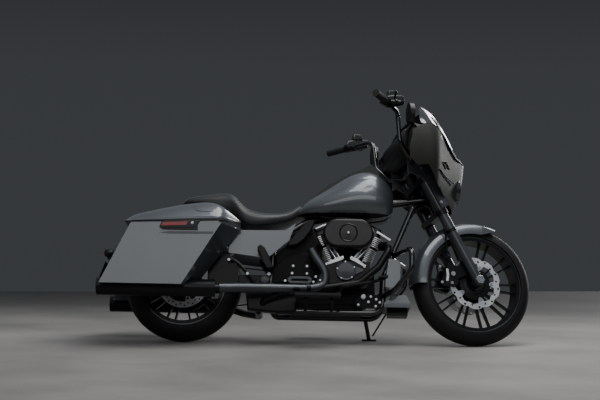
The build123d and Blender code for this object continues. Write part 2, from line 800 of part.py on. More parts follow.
with BuildPart() as swingarm:
    for end in (-1, 1):
        add(rounded_plate(ARM, end * ARM_IN, end * ARM_OUT))
        add(across(PIVOT, 25, end * ARM_OUT, end * (ARM_OUT + 26)))
    add(across(PIVOT, PIVOT_R, -ARM_OUT, ARM_OUT))
    add(across(Vector(398, 0, PIVOT.Z), CROSS_TUBE_R, -ARM_IN, ARM_IN))
    add(rear_axle.part, mode=Mode.SUBTRACT)
finish(swingarm, "swingarm")

SHOCK_Y = 168.0
SHOCK_R = 23.0
SHOCK_LOW = Vector(78, 0, 334)
SHOCK_HIGH = Vector(218, 0, REAR_RAIL_Z)
with BuildPart() as shocks:
    low = SHOCK_LOW + Vector(0, -SHOCK_Y, 0)
    high = SHOCK_HIGH + Vector(0, -SHOCK_Y, 0)
    add(pipe([low * 0.86 + high * 0.14, low * 0.12 + high * 0.88], SHOCK_R))
    add(pipe([low, high], 8))
    add(across(SHOCK_LOW, 15, -SHOCK_Y - 12, -ARM_OUT))
    add(across(SHOCK_HIGH, 15, -SHOCK_Y - 12, -REAR_RAIL_Y))
    mirror(about=Plane.XZ)
    add(rear_frame.part, mode=Mode.SUBTRACT)
finish(shocks, "shocks")

with BuildPart() as rear_caliper:
    add(caliper(REAR_AXLE, 145, -ARM_IN + 4, -60, -REAR_DISC_FACE))
    anchor = REAR_AXLE + Vector(cos(radians(145)), 0, sin(radians(145))) * 125
    add(rounded_plate([(REAR_AXLE.X, REAR_AXLE.Z, 30), (anchor.X, anchor.Z, 30)], -ARM_IN, -ARM_IN + 16))
    add(rear_axle.part, mode=Mode.SUBTRACT)
finish(rear_caliper, "rear_caliper")

FRONT_PULLEY = Vector(630, 0, 345)
FRONT_PULLEY_R = 66.0
with BuildPart() as drive_belt:
    belt_from, belt_to = PULLEY_FACE, BELT_OUT
    outer = [
        (REAR_AXLE.X, REAR_AXLE.Z, PULLEY_R + BELT_T),
        (FRONT_PULLEY.X, FRONT_PULLEY.Z, FRONT_PULLEY_R + BELT_T),
    ]
    inner = [
        (REAR_AXLE.X, REAR_AXLE.Z, PULLEY_R + RUN_FIT),
        (FRONT_PULLEY.X, FRONT_PULLEY.Z, FRONT_PULLEY_R),
    ]
    add(rounded_plate(outer, belt_from, belt_to))
    add(rounded_plate(inner, belt_from, belt_to), mode=Mode.SUBTRACT)
finish(drive_belt, "drive_belt")

# ---- Engine, transmission and primary drive ----

CASE_RIGHT = -95.0
CASE_LEFT = 112.0
CASE = [(712, 440), (1010, 440), (1072, 405), (1078, 262), (1030, 216), (712, 216)]
TRANSMISSION = [(566, 416), (606, 438), (712, 440), (712, 216), (590, 216), (566, 250)]
TRANSMISSION_LEFT = 86.0
SUMP = [(580, 216), (1020, 216), (1000, 160), (600, 160)]
SUMP_HALF = 86.0
# Feet that stand on the lower rails: X.
FEET = (620, 990)
CAM_CHEST = [(785, 440, 14), (1035, 438, 14), (1010, 330, 30), (830, 330, 30)]
CAM_CHEST_OUT = 140.0
CAM_COVER = Vector(913, 0, 398)
CAM_COVER_R = 52.0
CAM_COVER_OUT = 156.0
SIDE_COVER_OUT = 124.0
with BuildPart() as engine_cases:
    add(slab(CASE, CASE_RIGHT, CASE_LEFT))
    add(slab(TRANSMISSION, CASE_RIGHT, TRANSMISSION_LEFT))
    add(slab(SUMP, -SUMP_HALF, SUMP_HALF))
    for x in FEET:
        for end in (-1, 1):
            lug = [(x - 18, 172), (x + 18, 172), (x + 18, 230), (x - 18, 230)]
            add(slab(lug, end * 60, end * (RAIL_Y + 8)))
    add(rounded_plate([(612, 380, 46), (688, 370, 50)], -SIDE_COVER_OUT, CASE_RIGHT))
    for frame_part in frame_parts:
        add(frame_part, mode=Mode.SUBTRACT)
finish(engine_cases, "engine_cases")

with BuildPart() as cam_cover:
    add(rounded_plate(CAM_CHEST, -CAM_CHEST_OUT, CASE_RIGHT))
    add(across(CAM_COVER, CAM_COVER_R, -CAM_COVER_OUT, -CAM_CHEST_OUT))
finish(cam_cover, "cam_cover")

PRIMARY = [(900, 336, 96), (640, 340, 76)]
PRIMARY_OUT = 188.0
with BuildPart() as primary_cover:
    add(rounded_plate(PRIMARY, CASE_LEFT, PRIMARY_OUT))
    fillet(primary_cover.faces().sort_by(Axis.Y)[-1].edges(), 14)
finish(primary_cover, "primary_cover")

# The two cylinders: angle from upright, positive forward.
CYLINDER_ANGLES = (-VEE / 2, VEE / 2)
HEAD_HALF_X = 84.0
HEAD_HALF_Y = 96.0
HEAD_FINS = 5
HEAD_PITCH = 14.0


def in_cylinder(angle):
    """The placement that stands a vertical cylinder from the crank at its angle in the vee."""
    return Pos(CRANK_X, 0, CRANK_Z) * Rot(0, angle, 0)


PORT_R = 26.0
PORT_OUT = 104.0
HEADER_R = 20.0
# The two exhaust ports: a point inside the head, and the first corner of its header.
REAR_PORT = (Vector(806, 0, 568), Vector(716, -170, 505))
FRONT_PORT = (Vector(1054, 0, 568), Vector(1165, -140, 540))


def port_mouth(port):
    """The end of an exhaust port's stub, just outside the fins."""
    inside, corner = port
    return inside + (corner - inside) * (PORT_OUT / abs(corner.Y))


with BuildPart() as cylinders:
    for angle in CYLINDER_ANGLES:
        with BuildPart(mode=Mode.PRIVATE) as barrel:
            with BuildSketch(Plane.XY.offset(CYLINDER_BASE - 24)):
                Circle(BARREL_R)
            extrude(amount=HEAD_TOP - CYLINDER_BASE + 24)
            for level in range(FIN_COUNT):
                height = CYLINDER_BASE + level * FIN_PITCH
                with BuildSketch(Plane.XY.offset(height)):
                    RectangleRounded(2 * FIN_R, 2 * HEAD_HALF_Y, 40)
                extrude(amount=FIN_T)
            with BuildSketch(Plane.XY.offset(HEAD_BASE)):
                RectangleRounded(2 * HEAD_HALF_X - 20, 2 * HEAD_HALF_Y - 20, 24)
            extrude(amount=HEAD_TOP - HEAD_BASE)
            for level in range(HEAD_FINS):
                with BuildSketch(Plane.XY.offset(HEAD_BASE + level * HEAD_PITCH)):
                    RectangleRounded(2 * HEAD_HALF_X, 2 * HEAD_HALF_Y, 26)
                extrude(amount=FIN_T + 1)
        add(in_cylinder(angle) * barrel.part)
    for port in (REAR_PORT, FRONT_PORT):
        add(pipe([port[0], port_mouth(port)], PORT_R))
    add(engine_cases.part, mode=Mode.SUBTRACT)
    add(cam_cover.part, mode=Mode.SUBTRACT)
finish(cylinders, "cylinders")

ROCKER_BASE_X = 78.0
ROCKER_BASE_Y = 92.0
with BuildPart() as rocker_boxes:
    for angle in CYLINDER_ANGLES:
        with BuildPart(mode=Mode.PRIVATE) as box:
            with BuildSketch(Plane.XY.offset(HEAD_TOP)):
                RectangleRounded(2 * ROCKER_BASE_X, 2 * ROCKER_BASE_Y, 26)
            with BuildSketch(Plane.XY.offset(ROCKER_TOP)):
                RectangleRounded(2 * ROCKER_BASE_X - 26, 2 * ROCKER_BASE_Y - 40, 18)
            loft()
        add(in_cylinder(angle) * box.part)
finish(rocker_boxes, "rocker_boxes")

# Pushrod tubes on the right of each cylinder, from the cam cover up to the rocker box: X, Z at each end.
PUSHROD_R = 9.0
PUSHROD_Y = -124.0
PUSHRODS = [
    ((862, 458), (806, 549)),
    ((884, 462), (832, 552)),
    ((968, 458), (1050, 556)),
    ((948, 462), (1022, 556)),
]
LIFTER_BLOCKS = [
    [(801, 430), (901, 471), (896, 484), (796, 443)],
    [(935, 472), (1020, 417), (1028, 429), (943, 484)],
]
with BuildPart() as pushrods:
    for (low_x, low_z), (high_x, high_z) in PUSHRODS:
        add(pipe([(low_x, PUSHROD_Y, low_z), (high_x, PUSHROD_Y, high_z)], PUSHROD_R))
    for block in LIFTER_BLOCKS:
        add(slab(block, PUSHROD_Y - 16, CASE_RIGHT - 2))
    add(cam_cover.part, mode=Mode.SUBTRACT)
    add(cylinders.part, mode=Mode.SUBTRACT)
    add(rocker_boxes.part, mode=Mode.SUBTRACT)
finish(pushrods, "pushrods")

AIR_CLEANER = [(863, 599, 83), (982, 599, 83)]
AIR_OUT = 226.0
AIR_IN = 164.0
INTAKE = Vector(930, 0, 601)
INTAKE_R = 24.0
with BuildPart() as air_cleaner:
    add(rounded_plate(AIR_CLEANER, -AIR_OUT, -AIR_IN))
    fillet(air_cleaner.faces().sort_by(Axis.Y)[0].edges(), 16)
    add(across(INTAKE, INTAKE_R, -AIR_IN, 0))
    add(cylinders.part, mode=Mode.SUBTRACT)
    add(rocker_boxes.part, mode=Mode.SUBTRACT)
finish(air_cleaner, "air_cleaner")

# ---- Exhaust ----

MUFFLER_REAR = -452.0
MUFFLER_FRONT = 195.0
# Each pipe: X, Y, Z of its corners, and its bends.
REAR_HEADER = [
    port_mouth(REAR_PORT),
    REAR_PORT[1],
    (794, -176, 388),
    (738, -196, 282),
    (640, -240, 277),
    (330, -300, 268),
    (180, -MUFFLER_Y, 260),
]
REAR_HEADER_BENDS = [40, 45, 60, 90, 90]
FRONT_HEADER = [
    port_mouth(FRONT_PORT),
    FRONT_PORT[1],
    (1093, -166, 420),
    (985, -180, 325),
    (738, -196, 282),
]
FRONT_HEADER_BENDS = [40, 60, 90]
CROSSOVER = [
    (610, -243, 275),
    (470, -200, 226),
    (428, -110, 168),
    (428, 110, 168),
    (340, 230, 196),
    (180, MUFFLER_Y, 257),
]
CROSSOVER_BENDS = [60, 60, 70, 80]
with BuildPart() as mufflers:
    add(pipe([(MUFFLER_REAR, -MUFFLER_Y, MUFFLER_Z), (MUFFLER_FRONT, -MUFFLER_Y, MUFFLER_Z)], MUFFLER_R))
    outlet = [
        (MUFFLER_REAR - 1, -MUFFLER_Y, MUFFLER_Z),
        (MUFFLER_REAR + 90, -MUFFLER_Y, MUFFLER_Z),
    ]
    add(pipe(outlet, MUFFLER_R - 8), mode=Mode.SUBTRACT)
    mirror(about=Plane.XZ)
finish(mufflers, "mufflers")

with BuildPart() as exhaust_pipes:
    add(pipe(REAR_HEADER, HEADER_R, bend=REAR_HEADER_BENDS))
    add(pipe(FRONT_HEADER, HEADER_R, bend=FRONT_HEADER_BENDS))
    add(pipe(CROSSOVER, HEADER_R, bend=CROSSOVER_BENDS))
    add(mufflers.part, mode=Mode.SUBTRACT)
finish(exhaust_pipes, "exhaust_pipes")

# ---- Tank, console and seat ----

# Tank sections from the tail forward: X, bottom half width and Z, widest half width and Z,
# shoulder half width and Z, top Z.
TANK = [
    (642, 60, 716, 72, 730, 50, 745, 756),
    (760, 105, 714, 140, 762, 98, 828, 862),
    (885, 120, 706, 164, 788, 116, 892, 944),
    (1010, 124, 702, 172, 806, 118, 934, 994),
    (1110, 114, 712, 152, 812, 102, 912, 966),
    (1176, 60, 756, 84, 812, 56, 862, 878),
]
with BuildPart() as fuel_tank:
    for x, low_half, low_z, wide_half, wide_z, top_half, top_z, crown_z in TANK:
        with BuildSketch(Plane.YZ.offset(x)):
            with BuildLine():
                Line((-low_half, low_z), (low_half, low_z))
                ThreePointArc((low_half, low_z), (wide_half, wide_z), (top_half, top_z))
                ThreePointArc((top_half, top_z), (0, crown_z), (-top_half, top_z))
                ThreePointArc((-top_half, top_z), (-wide_half, wide_z), (-low_half, low_z))
            make_face()
    loft()
    tunnel = [(600, 600), (1240, 600), (1240, 829), (1180, 815), (600, 679)]
    add(slab(tunnel, -BACKBONE_R, BACKBONE_R), mode=Mode.SUBTRACT)
    for part_piece in frame_parts:
        add(part_piece, mode=Mode.SUBTRACT)
    add(rocker_boxes.part, mode=Mode.SUBTRACT)
finish(fuel_tank, "fuel_tank")

CONSOLE_HALF = 36.0
CONSOLE = [
    (706, 780),
    (706, 824),
    (761, 873),
    (818, 917),
    (906, 966),
    (985, 1002),
    (1051, 1036),
    (1088, 1010),
    (1096, 985),
    (1096, 930),
    (900, 890),
    (760, 800),
]
with BuildPart() as tank_console:
    add(slab(CONSOLE, -CONSOLE_HALF, CONSOLE_HALF))
    add(fuel_tank.part, mode=Mode.SUBTRACT)
finish(tank_console, "tank_console")

REAR_FENDER_R = 450.0
REAR_FENDER_SHOULDER = 408.0
REAR_FENDER_SKIRT = 256.0
REAR_FENDER_FRONT = 60.0
REAR_FENDER_REAR = 160.0
REAR_FENDER_DROP = 172.0
with BuildPart() as rear_fender:
    add(
        at_rear_axle
        * fender_arc(
            REAR_FENDER_R,
            FENDER_HALF_REAR,
            REAR_FENDER_SHOULDER,
            REAR_FENDER_SKIRT,
            REAR_FENDER_FRONT,
            REAR_FENDER_REAR,
        )
    )
    extrude(rear_fender.faces().sort_by(Axis.Z)[0], amount=REAR_FENDER_DROP)
finish(rear_fender, "rear_fender")

SEAT_GAP = 0.3
SEAT_FRONT = 641.0
# The seat seen from the side, its top and then its bottom: X, Z.
SEAT_SIDE = [
    (-15, 770),
    (-15, 812),
    (198, 843),
    (262, 838),
    (300, 786),
    (343, 754),
    (414, 734),
    (509, 730),
    (579, 737),
    (SEAT_FRONT, 770),
    (SEAT_FRONT, 706),
    (558, 668),
    (489, 648),
    (419, 638),
    (330, 640),
    (316, 656),
    (228, 700),
    (180, 740),
]
# Its plan outline, right half from the front: X, Y.
SEAT_PLAN = [(SEAT_FRONT, -74), (560, -100), (450, -146), (330, -148), (250, -112), (-15, -100)]
with BuildPart() as seat:
    add(slab(SEAT_SIDE, -150, 150))
    with BuildSketch(Plane.XY.offset(600)):
        with BuildLine():
            Polyline(*SEAT_PLAN, *[(x, -y) for x, y in reversed(SEAT_PLAN)], close=True)
        make_face()
    extrude(amount=300, mode=Mode.INTERSECT)
    add(across(REAR_AXLE, REAR_FENDER_R + SEAT_GAP, -150, 150), mode=Mode.SUBTRACT)
finish(seat, "seat")

SIDE_COVER_Y = 176.0
SIDE_COVER_T = 5.0
SIDE_COVER = [
    (333, 612),
    (568, 615),
    (628, 655),
    (592, 560),
    (490, 469),
    (421, 463),
    (256, 483),
    (262, 600),
]
with BuildPart() as side_covers:
    add(slab(SIDE_COVER, -SIDE_COVER_Y - SIDE_COVER_T, -SIDE_COVER_Y))
    add(across(Vector(505, 0, 500), 9, -SIDE_COVER_Y, -UPRIGHT_Y))
    add(across(Vector(380, 0, REAR_RAIL_Z), 9, -SIDE_COVER_Y, -REAR_RAIL_Y))
    mirror(about=Plane.XZ)
    for frame_part in [*frame_parts, rear_frame.part]:
        add(frame_part, mode=Mode.SUBTRACT)
finish(side_covers, "side_covers")

# ---- Saddlebags and lids ----

# A bag's right-hand outline in plan at its floor and at its rim: X, Y.
BAG_LOW = [(-432, -BAG_OUT), (15, -BAG_OUT), (62, -BAG_IN), (-425, -BAG_IN)]
BAG_HIGH = [(-267, -BAG_OUT), (224, -BAG_OUT), (317, -BAG_IN), (-265, -BAG_IN)]
CHANNEL_R = 56.0
LID_TOP = 738.0
# The lid's outline in plan: X, Y.
LID_PLAN = [(-298, -BAG_OUT), (228, -BAG_OUT), (326, -BAG_IN), (-290, -BAG_IN)]
# The lid's outline from the side above the rim: X, Z.
LID_SIDE = [
    (-300, BAG_RIM + LID_GAP),
    (-228, 652),
    (14, 722),
    (156, LID_TOP),
    (243, 718),
    (322, 640),
    (330, BAG_RIM + LID_GAP),
]


def bag_form(inset, floor):
    """The right bag's outer form drawn in by an inset, from a floor height up to the rim."""
    with BuildPart() as form:
        for outline, height in ((BAG_LOW, BAG_FLOOR), (BAG_HIGH, BAG_RIM)):
            with BuildSketch(Plane.XY.offset(height)):
                with BuildLine():
                    Polyline(*outline, close=True)
                make_face()
                offset(amount=-inset, kind=Kind.INTERSECTION)
        loft()
        if inset:
            with BuildSketch(Plane.XY.offset(BAG_FLOOR)):
                Rectangle(4000, 4000)
            extrude(amount=floor - BAG_FLOOR, mode=Mode.SUBTRACT)
    return form.part


def lid_form(inset):
    """The right lid's outer form drawn in by an inset."""
    rim = BAG_RIM + LID_GAP
    with BuildPart() as form:
        with BuildSketch(side(-BAG_OUT + inset)):
            with BuildLine():
                Polyline(*LID_SIDE, close=True)
            make_face()
            if inset:
                offset(amount=-inset, kind=Kind.INTERSECTION)
        extrude(amount=-(BAG_OUT - BAG_IN - 2 * inset))
        with BuildSketch(Plane.XY.offset(rim - 10)):
            with BuildLine():
                Polyline(*LID_PLAN, close=True)
            make_face()
            offset(amount=-inset, kind=Kind.INTERSECTION)
        extrude(amount=LID_TOP, mode=Mode.INTERSECT)
    return form.part


BAG_MOUNTS = (-150, 130)
MOUNT_T = 6.0
MOUNT_HALF = 15.0
bag_shell = bag_form(0, BAG_FLOOR)
bag_room = bag_form(BAG_WALL, BAG_FLOOR + BAG_WALL)
with BuildPart() as muffler_channel:
    add(pipe([(-600, -MUFFLER_Y, MUFFLER_Z), (400, -MUFFLER_Y, MUFFLER_Z)], CHANNEL_R))
with BuildPart() as channel_roof:
    add(pipe([(-600, -MUFFLER_Y, MUFFLER_Z), (400, -MUFFLER_Y, MUFFLER_Z)], CHANNEL_R + BAG_WALL))
with BuildPart() as saddlebag:
    add(bag_shell)
    with BuildPart(mode=Mode.SUBTRACT):
        add(bag_room)
        add(channel_roof.part, mode=Mode.SUBTRACT)
    add(muffler_channel.part, mode=Mode.SUBTRACT)

with BuildPart() as bag_lid:
    add(lid_form(0))
    with BuildPart(mode=Mode.SUBTRACT):
        add(lid_form(BAG_WALL))
        with BuildSketch(Plane.XY.offset(BAG_RIM - 20)):
            with BuildLine():
                Polyline(*BAG_HIGH, close=True)
            make_face()
            offset(amount=-BAG_WALL, kind=Kind.INTERSECTION)
        extrude(amount=40)

LATCH_FACE = BAG_OUT + 9.0
# The latch bezel on each bag's outer face under the lid's seam: X, Z.
LATCH = [(-96, 560), (96, 560), (96, 598), (-96, 598)]
with BuildPart() as bag_latch:
    add(slab(LATCH, -LATCH_FACE, -BAG_OUT))
    mirror(about=Plane.XZ)
finish(bag_latch, "bag_latches")

with BuildPart() as bag_bracket:
    for x in BAG_MOUNTS:
        back, front = x - MOUNT_HALF, x + MOUNT_HALF
        upright = [(back, 236), (front, 236), (front, 596), (back, 596)]
        foot = [(back, 236), (front, 236), (front, 242), (back, 242)]
        add(slab(upright, -BAG_IN, -BAG_IN + MOUNT_T))
        add(slab(foot, -MUFFLER_Y + 30, -BAG_IN))
        add(across(Vector(x, 0, REAR_RAIL_Z), 9, -BAG_IN, -REAR_RAIL_Y))
    mirror(about=Plane.XZ)
    add(mufflers.part, mode=Mode.SUBTRACT)
    add(rear_frame.part, mode=Mode.SUBTRACT)
finish(bag_bracket, "bag_brackets")

for stem, piece in (("saddlebag", saddlebag), ("bag_lid", bag_lid)):
    finish(piece, f"{stem}_right")
    with BuildPart() as left_piece:
        add(mirror(piece.part, about=Plane.XZ, mode=Mode.PRIVATE))
    finish(left_piece, f"{stem}_left")

# ---- Boards, pegs, pedals and stand ----

BOARD = [(633, 222), (884, 222), (884, 236), (633, 236)]
BOARD_IN = 255.0
BOARD_OUT = 384.0
BOARD_ARMS = (690, 835)
BOARD_ARM_R = 9.0
with BuildPart() as floorboards:
    add(slab(BOARD, -BOARD_OUT, -BOARD_IN))
    for x in BOARD_ARMS:
        add(pipe([(x, -RAIL_Y, RAIL_Z + 8), (x, -BOARD_IN - 40, 216)], BOARD_ARM_R))
    mirror(about=Plane.XZ)
    for frame_part in frame_parts:
        add(frame_part, mode=Mode.SUBTRACT)
finish(floorboards, "floorboards")

PEDAL_PIVOT = Vector(872, 0, 252)
PEDAL_ROUTE = [(872, -250, 252), (892, -262, 290), (1050, -285, 314), (1118, -318, 330)]
PEDAL_PAD = [(1088, 330), (1140, 336), (1140, 346), (1088, 340)]
with BuildPart() as foot_controls:
    add(pipe(PEDAL_ROUTE, 9, bend=18))
    mirror(about=Plane.XZ)
    add(across(PEDAL_PIVOT, 11, -260, CASE_RIGHT))
    add(slab(PEDAL_PAD, -350, -288))
    add(across(PEDAL_PIVOT, 11, PRIMARY_OUT - 20, 260))
    add(across(Vector(1118, 0, 330), 11, 296, 350))
    add(cam_cover.part, mode=Mode.SUBTRACT)
    add(primary_cover.part, mode=Mode.SUBTRACT)
finish(foot_controls, "foot_controls")

PEG_Y = 262.0
with BuildPart() as passenger_pegs:
    add(rounded_plate([(436, 500, 13), (482, 402, 15)], -PEG_Y - 14, -PEG_Y + 14))
    add(across(Vector(497, 0, 400), 10, -PEG_Y, -UPRIGHT_Y - 20))
    mirror(about=Plane.XZ)
    for frame_part in frame_parts:
        add(frame_part, mode=Mode.SUBTRACT)
finish(passenger_pegs, "passenger_pegs")

# The grey panel on each downtube, the chin across them and the regulator under it: X, Z.
PANEL = [(1130, 308), (1150, 466), (1195, 461), (1217, 445), (1213, 321), (1191, 298)]
CHIN = [(1128, 198), (1128, 222), (1171, 258), (1249, 271), (1279, 214), (1274, 198)]
REGULATOR = [(1152, 163), (1264, 163), (1264, 198), (1152, 198)]
PANEL_OUT = 180.0
with BuildPart() as lower_panels:
    add(slab(PANEL, -PANEL_OUT, -RAIL_Y))
    mirror(about=Plane.XZ)
    for frame_part in [*frame_parts, engine_guard.part, exhaust_pipes.part]:
        add(frame_part, mode=Mode.SUBTRACT)
finish(lower_panels, "lower_panels")

with BuildPart() as chin:
    add(slab(CHIN, -142, 142))
    add(slab(REGULATOR, -62, 62))
    for frame_part in [*frame_parts, engine_guard.part, exhaust_pipes.part]:
        add(frame_part, mode=Mode.SUBTRACT)
finish(chin, "chin")

FOOT_T = 8.0
STAND_LEG_R = 11.5
with BuildPart() as side_stand:
    add(pipe([STAND_TOP, STAND_FOOT], STAND_LEG_R))
    add(stand_pin(STAND_EYE_R, -STAND_EYE_HALF, STAND_EYE_HALF))
    foot_world = PARKED * Pos(*STAND_FOOT)
    with BuildPart(mode=Mode.PRIVATE) as foot:
        with BuildSketch(Plane.XY):
            with Locations((foot_world.position.X, foot_world.position.Y)):
                RectangleRounded(84, 44, 14)
        extrude(amount=FOOT_T)
    add(PARKED.inverse() * foot.part)
    with BuildPart(mode=Mode.PRIVATE) as below:
        with Locations((foot_world.position.X, foot_world.position.Y, -30)):
            Box(200, 200, 60)
    add(PARKED.inverse() * below.part, mode=Mode.SUBTRACT)
    add(stand_pin(STAND_PIN_R + STAND_FIT, -STAND_EYE_HALF - 40, STAND_EYE_HALF + 40), mode=Mode.SUBTRACT)
finish(side_stand, "side_stand")

# ---- Lights and plate ----


def on_rear_fender(angle, depth):
    """A point a depth under the rear fender's crown and the way out there, at an angle above forward."""
    out = Vector(cos(radians(angle)), 0, sin(radians(angle)))
    return REAR_AXLE + out * (REAR_FENDER_R - depth), out


LIGHT_ANGLE = 154.0
LIGHT_BEDDED = 3.5
LIGHT_DEPTH = 42.0
light_seat, light_out = on_rear_fender(LIGHT_ANGLE, LIGHT_BEDDED)
with BuildPart() as tail_light:
    with BuildSketch(Plane(origin=light_seat, x_dir=(0, 1, 0), z_dir=light_out)):
        RectangleRounded(88, 60, 14)
    extrude(amount=LIGHT_DEPTH)

SIGNAL_Y = 96.0
SIGNAL_R = 25.0
SIGNAL_CENTRE = Vector(-440, 0, 506)
with BuildPart() as rear_lights:
    with BuildSketch(Plane.YZ.offset(SIGNAL_CENTRE.X - 22)):
        with Locations((-SIGNAL_Y, SIGNAL_CENTRE.Z)):
            Circle(SIGNAL_R)
    extrude(amount=LIGHT_DEPTH)
    add(across(SIGNAL_CENTRE, 9, -SIGNAL_Y, 0))
    mirror(about=Plane.XZ)
    add(tail_light.part)
    add(rear_fender.part, mode=Mode.SUBTRACT)
finish(rear_lights, "rear_lights")

PLATE_HOLE_PCD = 132.0
PLATE_HOLE_R = 3.2
PLATE_T = 2.0
plate_top, plate_out = on_rear_fender(REAR_FENDER_REAR, 0)
PLATE_DOWN = 100.0
plate_centre = plate_top + Vector(-plate_out.Z, 0, plate_out.X) * PLATE_DOWN
with BuildPart() as licence_plate:
    with BuildSketch(Plane(origin=plate_centre, x_dir=(0, 1, 0), z_dir=plate_out)):
        RectangleRounded(178, 102, 8)
        with PolarLocations(PLATE_HOLE_PCD / 2, 2):
            Circle(PLATE_HOLE_R, mode=Mode.SUBTRACT)
    extrude(amount=PLATE_T)
finish(licence_plate, "licence_plate")
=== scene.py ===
import math

import bpy
from mathutils import Matrix, Vector


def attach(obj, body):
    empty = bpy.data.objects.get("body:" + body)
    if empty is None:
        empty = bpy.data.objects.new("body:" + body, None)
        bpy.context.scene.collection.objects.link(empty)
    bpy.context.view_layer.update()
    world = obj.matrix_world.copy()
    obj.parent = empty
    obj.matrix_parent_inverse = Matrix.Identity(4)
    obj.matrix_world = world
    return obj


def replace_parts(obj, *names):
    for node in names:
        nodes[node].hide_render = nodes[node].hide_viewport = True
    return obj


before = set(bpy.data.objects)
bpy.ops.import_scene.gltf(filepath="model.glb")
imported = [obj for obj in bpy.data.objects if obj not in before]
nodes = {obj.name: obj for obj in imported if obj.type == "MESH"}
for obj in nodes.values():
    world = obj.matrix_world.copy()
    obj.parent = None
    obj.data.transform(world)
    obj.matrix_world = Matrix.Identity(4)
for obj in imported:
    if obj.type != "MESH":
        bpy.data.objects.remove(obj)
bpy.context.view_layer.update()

# ---- Floor, sky and camera ----
# The machine stands on pale sealed concrete under one wide soft sky, lit by four panels. The
# floor ends a few metres behind it, where a plain dark background begins.


def linear(hex_colour):
    """An sRGB hex colour as linear red, green, blue and alpha."""
    channels = [int(hex_colour[i : i + 2], 16) / 255 for i in (1, 3, 5)]
    curve = [c / 12.92 if c <= 0.04045 else ((c + 0.055) / 1.055) ** 2.4 for c in channels]
    return (*curve, 1.0)


def add(tree, kind, inputs=None, **settings):
    """A node with its settings, and each input either a value or a link from another socket."""
    made = tree.nodes.new(kind)
    for name, value in settings.items():
        setattr(made, name, value)
    for key, value in (inputs or {}).items():
        if isinstance(value, bpy.types.NodeSocket):
            tree.links.new(value, made.inputs[key])
        else:
            made.inputs[key].default_value = value
    return made


def material(name):
    """A material, its empty tree, and the place on the object that its patterns follow."""
    made = bpy.data.materials.new(name)
    made.use_nodes = True
    tree = made.node_tree
    tree.nodes.clear()
    return made, tree, add(tree, "ShaderNodeTexCoord").outputs["Object"]


def ramp(tree, factor, stops):
    """The colour of a ramp with stops of place and hex colour."""
    made = add(tree, "ShaderNodeValToRGB", {"Fac": factor})
    elements = made.color_ramp.elements
    while len(elements) < len(stops):
        elements.new(0.5)
    for element, (place, colour) in zip(elements, stops):
        element.position = place
        element.color = linear(colour)
    return made.outputs["Color"]


def noise(tree, spot, scale, detail):
    """The strength of a cloudy noise."""
    values = {"Vector": spot, "Scale": scale, "Detail": detail}
    return add(tree, "ShaderNodeTexNoise", values).outputs["Fac"]


def bumped(tree, height, strength, distance):
    """The direction of a surface with a relief, whose distance is in metres."""
    values = {"Height": height, "Strength": strength, "Distance": distance}
    return add(tree, "ShaderNodeBump", values).outputs["Normal"]


def shaded(tree, inputs):
    """End a material in one shader with these inputs."""
    shader = add(tree, "ShaderNodeBsdfPrincipled", inputs)
    add(tree, "ShaderNodeOutputMaterial", {"Surface": shader.outputs[0]})


# Sealed concrete: pale grey, dull, with a cloudy mottle and fine grit.
concrete, tree, spot = material("sealed_concrete")
pale = ramp(tree, noise(tree, spot, 1.3, 9.0), [(0.35, "#7c7a77"), (0.65, "#94918d")])
# Painted shade: the slab is paler near the machine and darker toward its far edge.
along = add(tree, "ShaderNodeSeparateXYZ", {"Vector": spot}).outputs["Y"]
reach = add(tree, "ShaderNodeMapRange", {
    "Value": along, "From Min": 0.0, "From Max": 4.2,
    "To Min": 1.0, "To Max": 0.0}).outputs["Result"]
painted_falloff = ramp(
    tree, reach, [(0.0, "#4c4c4c"), (0.3, "#7d7d7c"), (0.62, "#d9d9d8"), (1.0, "#ffffff")])
mixed = add(
    tree, "ShaderNodeMix", {"Factor": 1.0, "A": pale, "B": painted_falloff},
    data_type="RGBA", blend_type="MULTIPLY")
shaded(tree, {
    "Base Color": mixed.outputs["Result"], "Roughness": 0.9,
    "Normal": bumped(tree, noise(tree, spot, 90.0, 6.0), 0.5, 0.004)})

FLOOR_CORNERS = [(-30.0, -30.0), (30.0, -30.0), (30.0, 12.0), (-30.0, -1.97)]
floor_mesh = bpy.data.meshes.new("floor")
floor_mesh.from_pydata([(x, y, 0.0) for x, y in FLOOR_CORNERS], [], [(0, 1, 2, 3)])
floor_mesh.materials.append(concrete)
floor = bpy.data.objects.new("floor", floor_mesh)
bpy.context.scene.collection.objects.link(floor)

world = bpy.data.worlds.new("overcast")
bpy.context.scene.world = world
world.use_nodes = True
tree = world.node_tree
tree.nodes.clear()
direction = add(tree, "ShaderNodeTexCoord").outputs["Generated"]
height = add(tree, "ShaderNodeSeparateXYZ", {"Vector": direction}).outputs["Z"]
lifted = add(tree, "ShaderNodeMapRange", {
    "Value": height, "From Min": -0.1, "From Max": 1.0}).outputs["Result"]
sky = ramp(tree, lifted, [
    (0.0, "#3b3d40"), (0.1, "#3c3e41"), (0.16, "#3b3d40"), (0.2, "#343538"),
    (0.42, "#6b6f74"), (0.6, "#82878d"), (1.0, "#9a9fa5")])
background = add(tree, "ShaderNodeBackground", {"Color": sky, "Strength": 1.0})
add(tree, "ShaderNodeOutputWorld", {"Surface": background.outputs[0]})

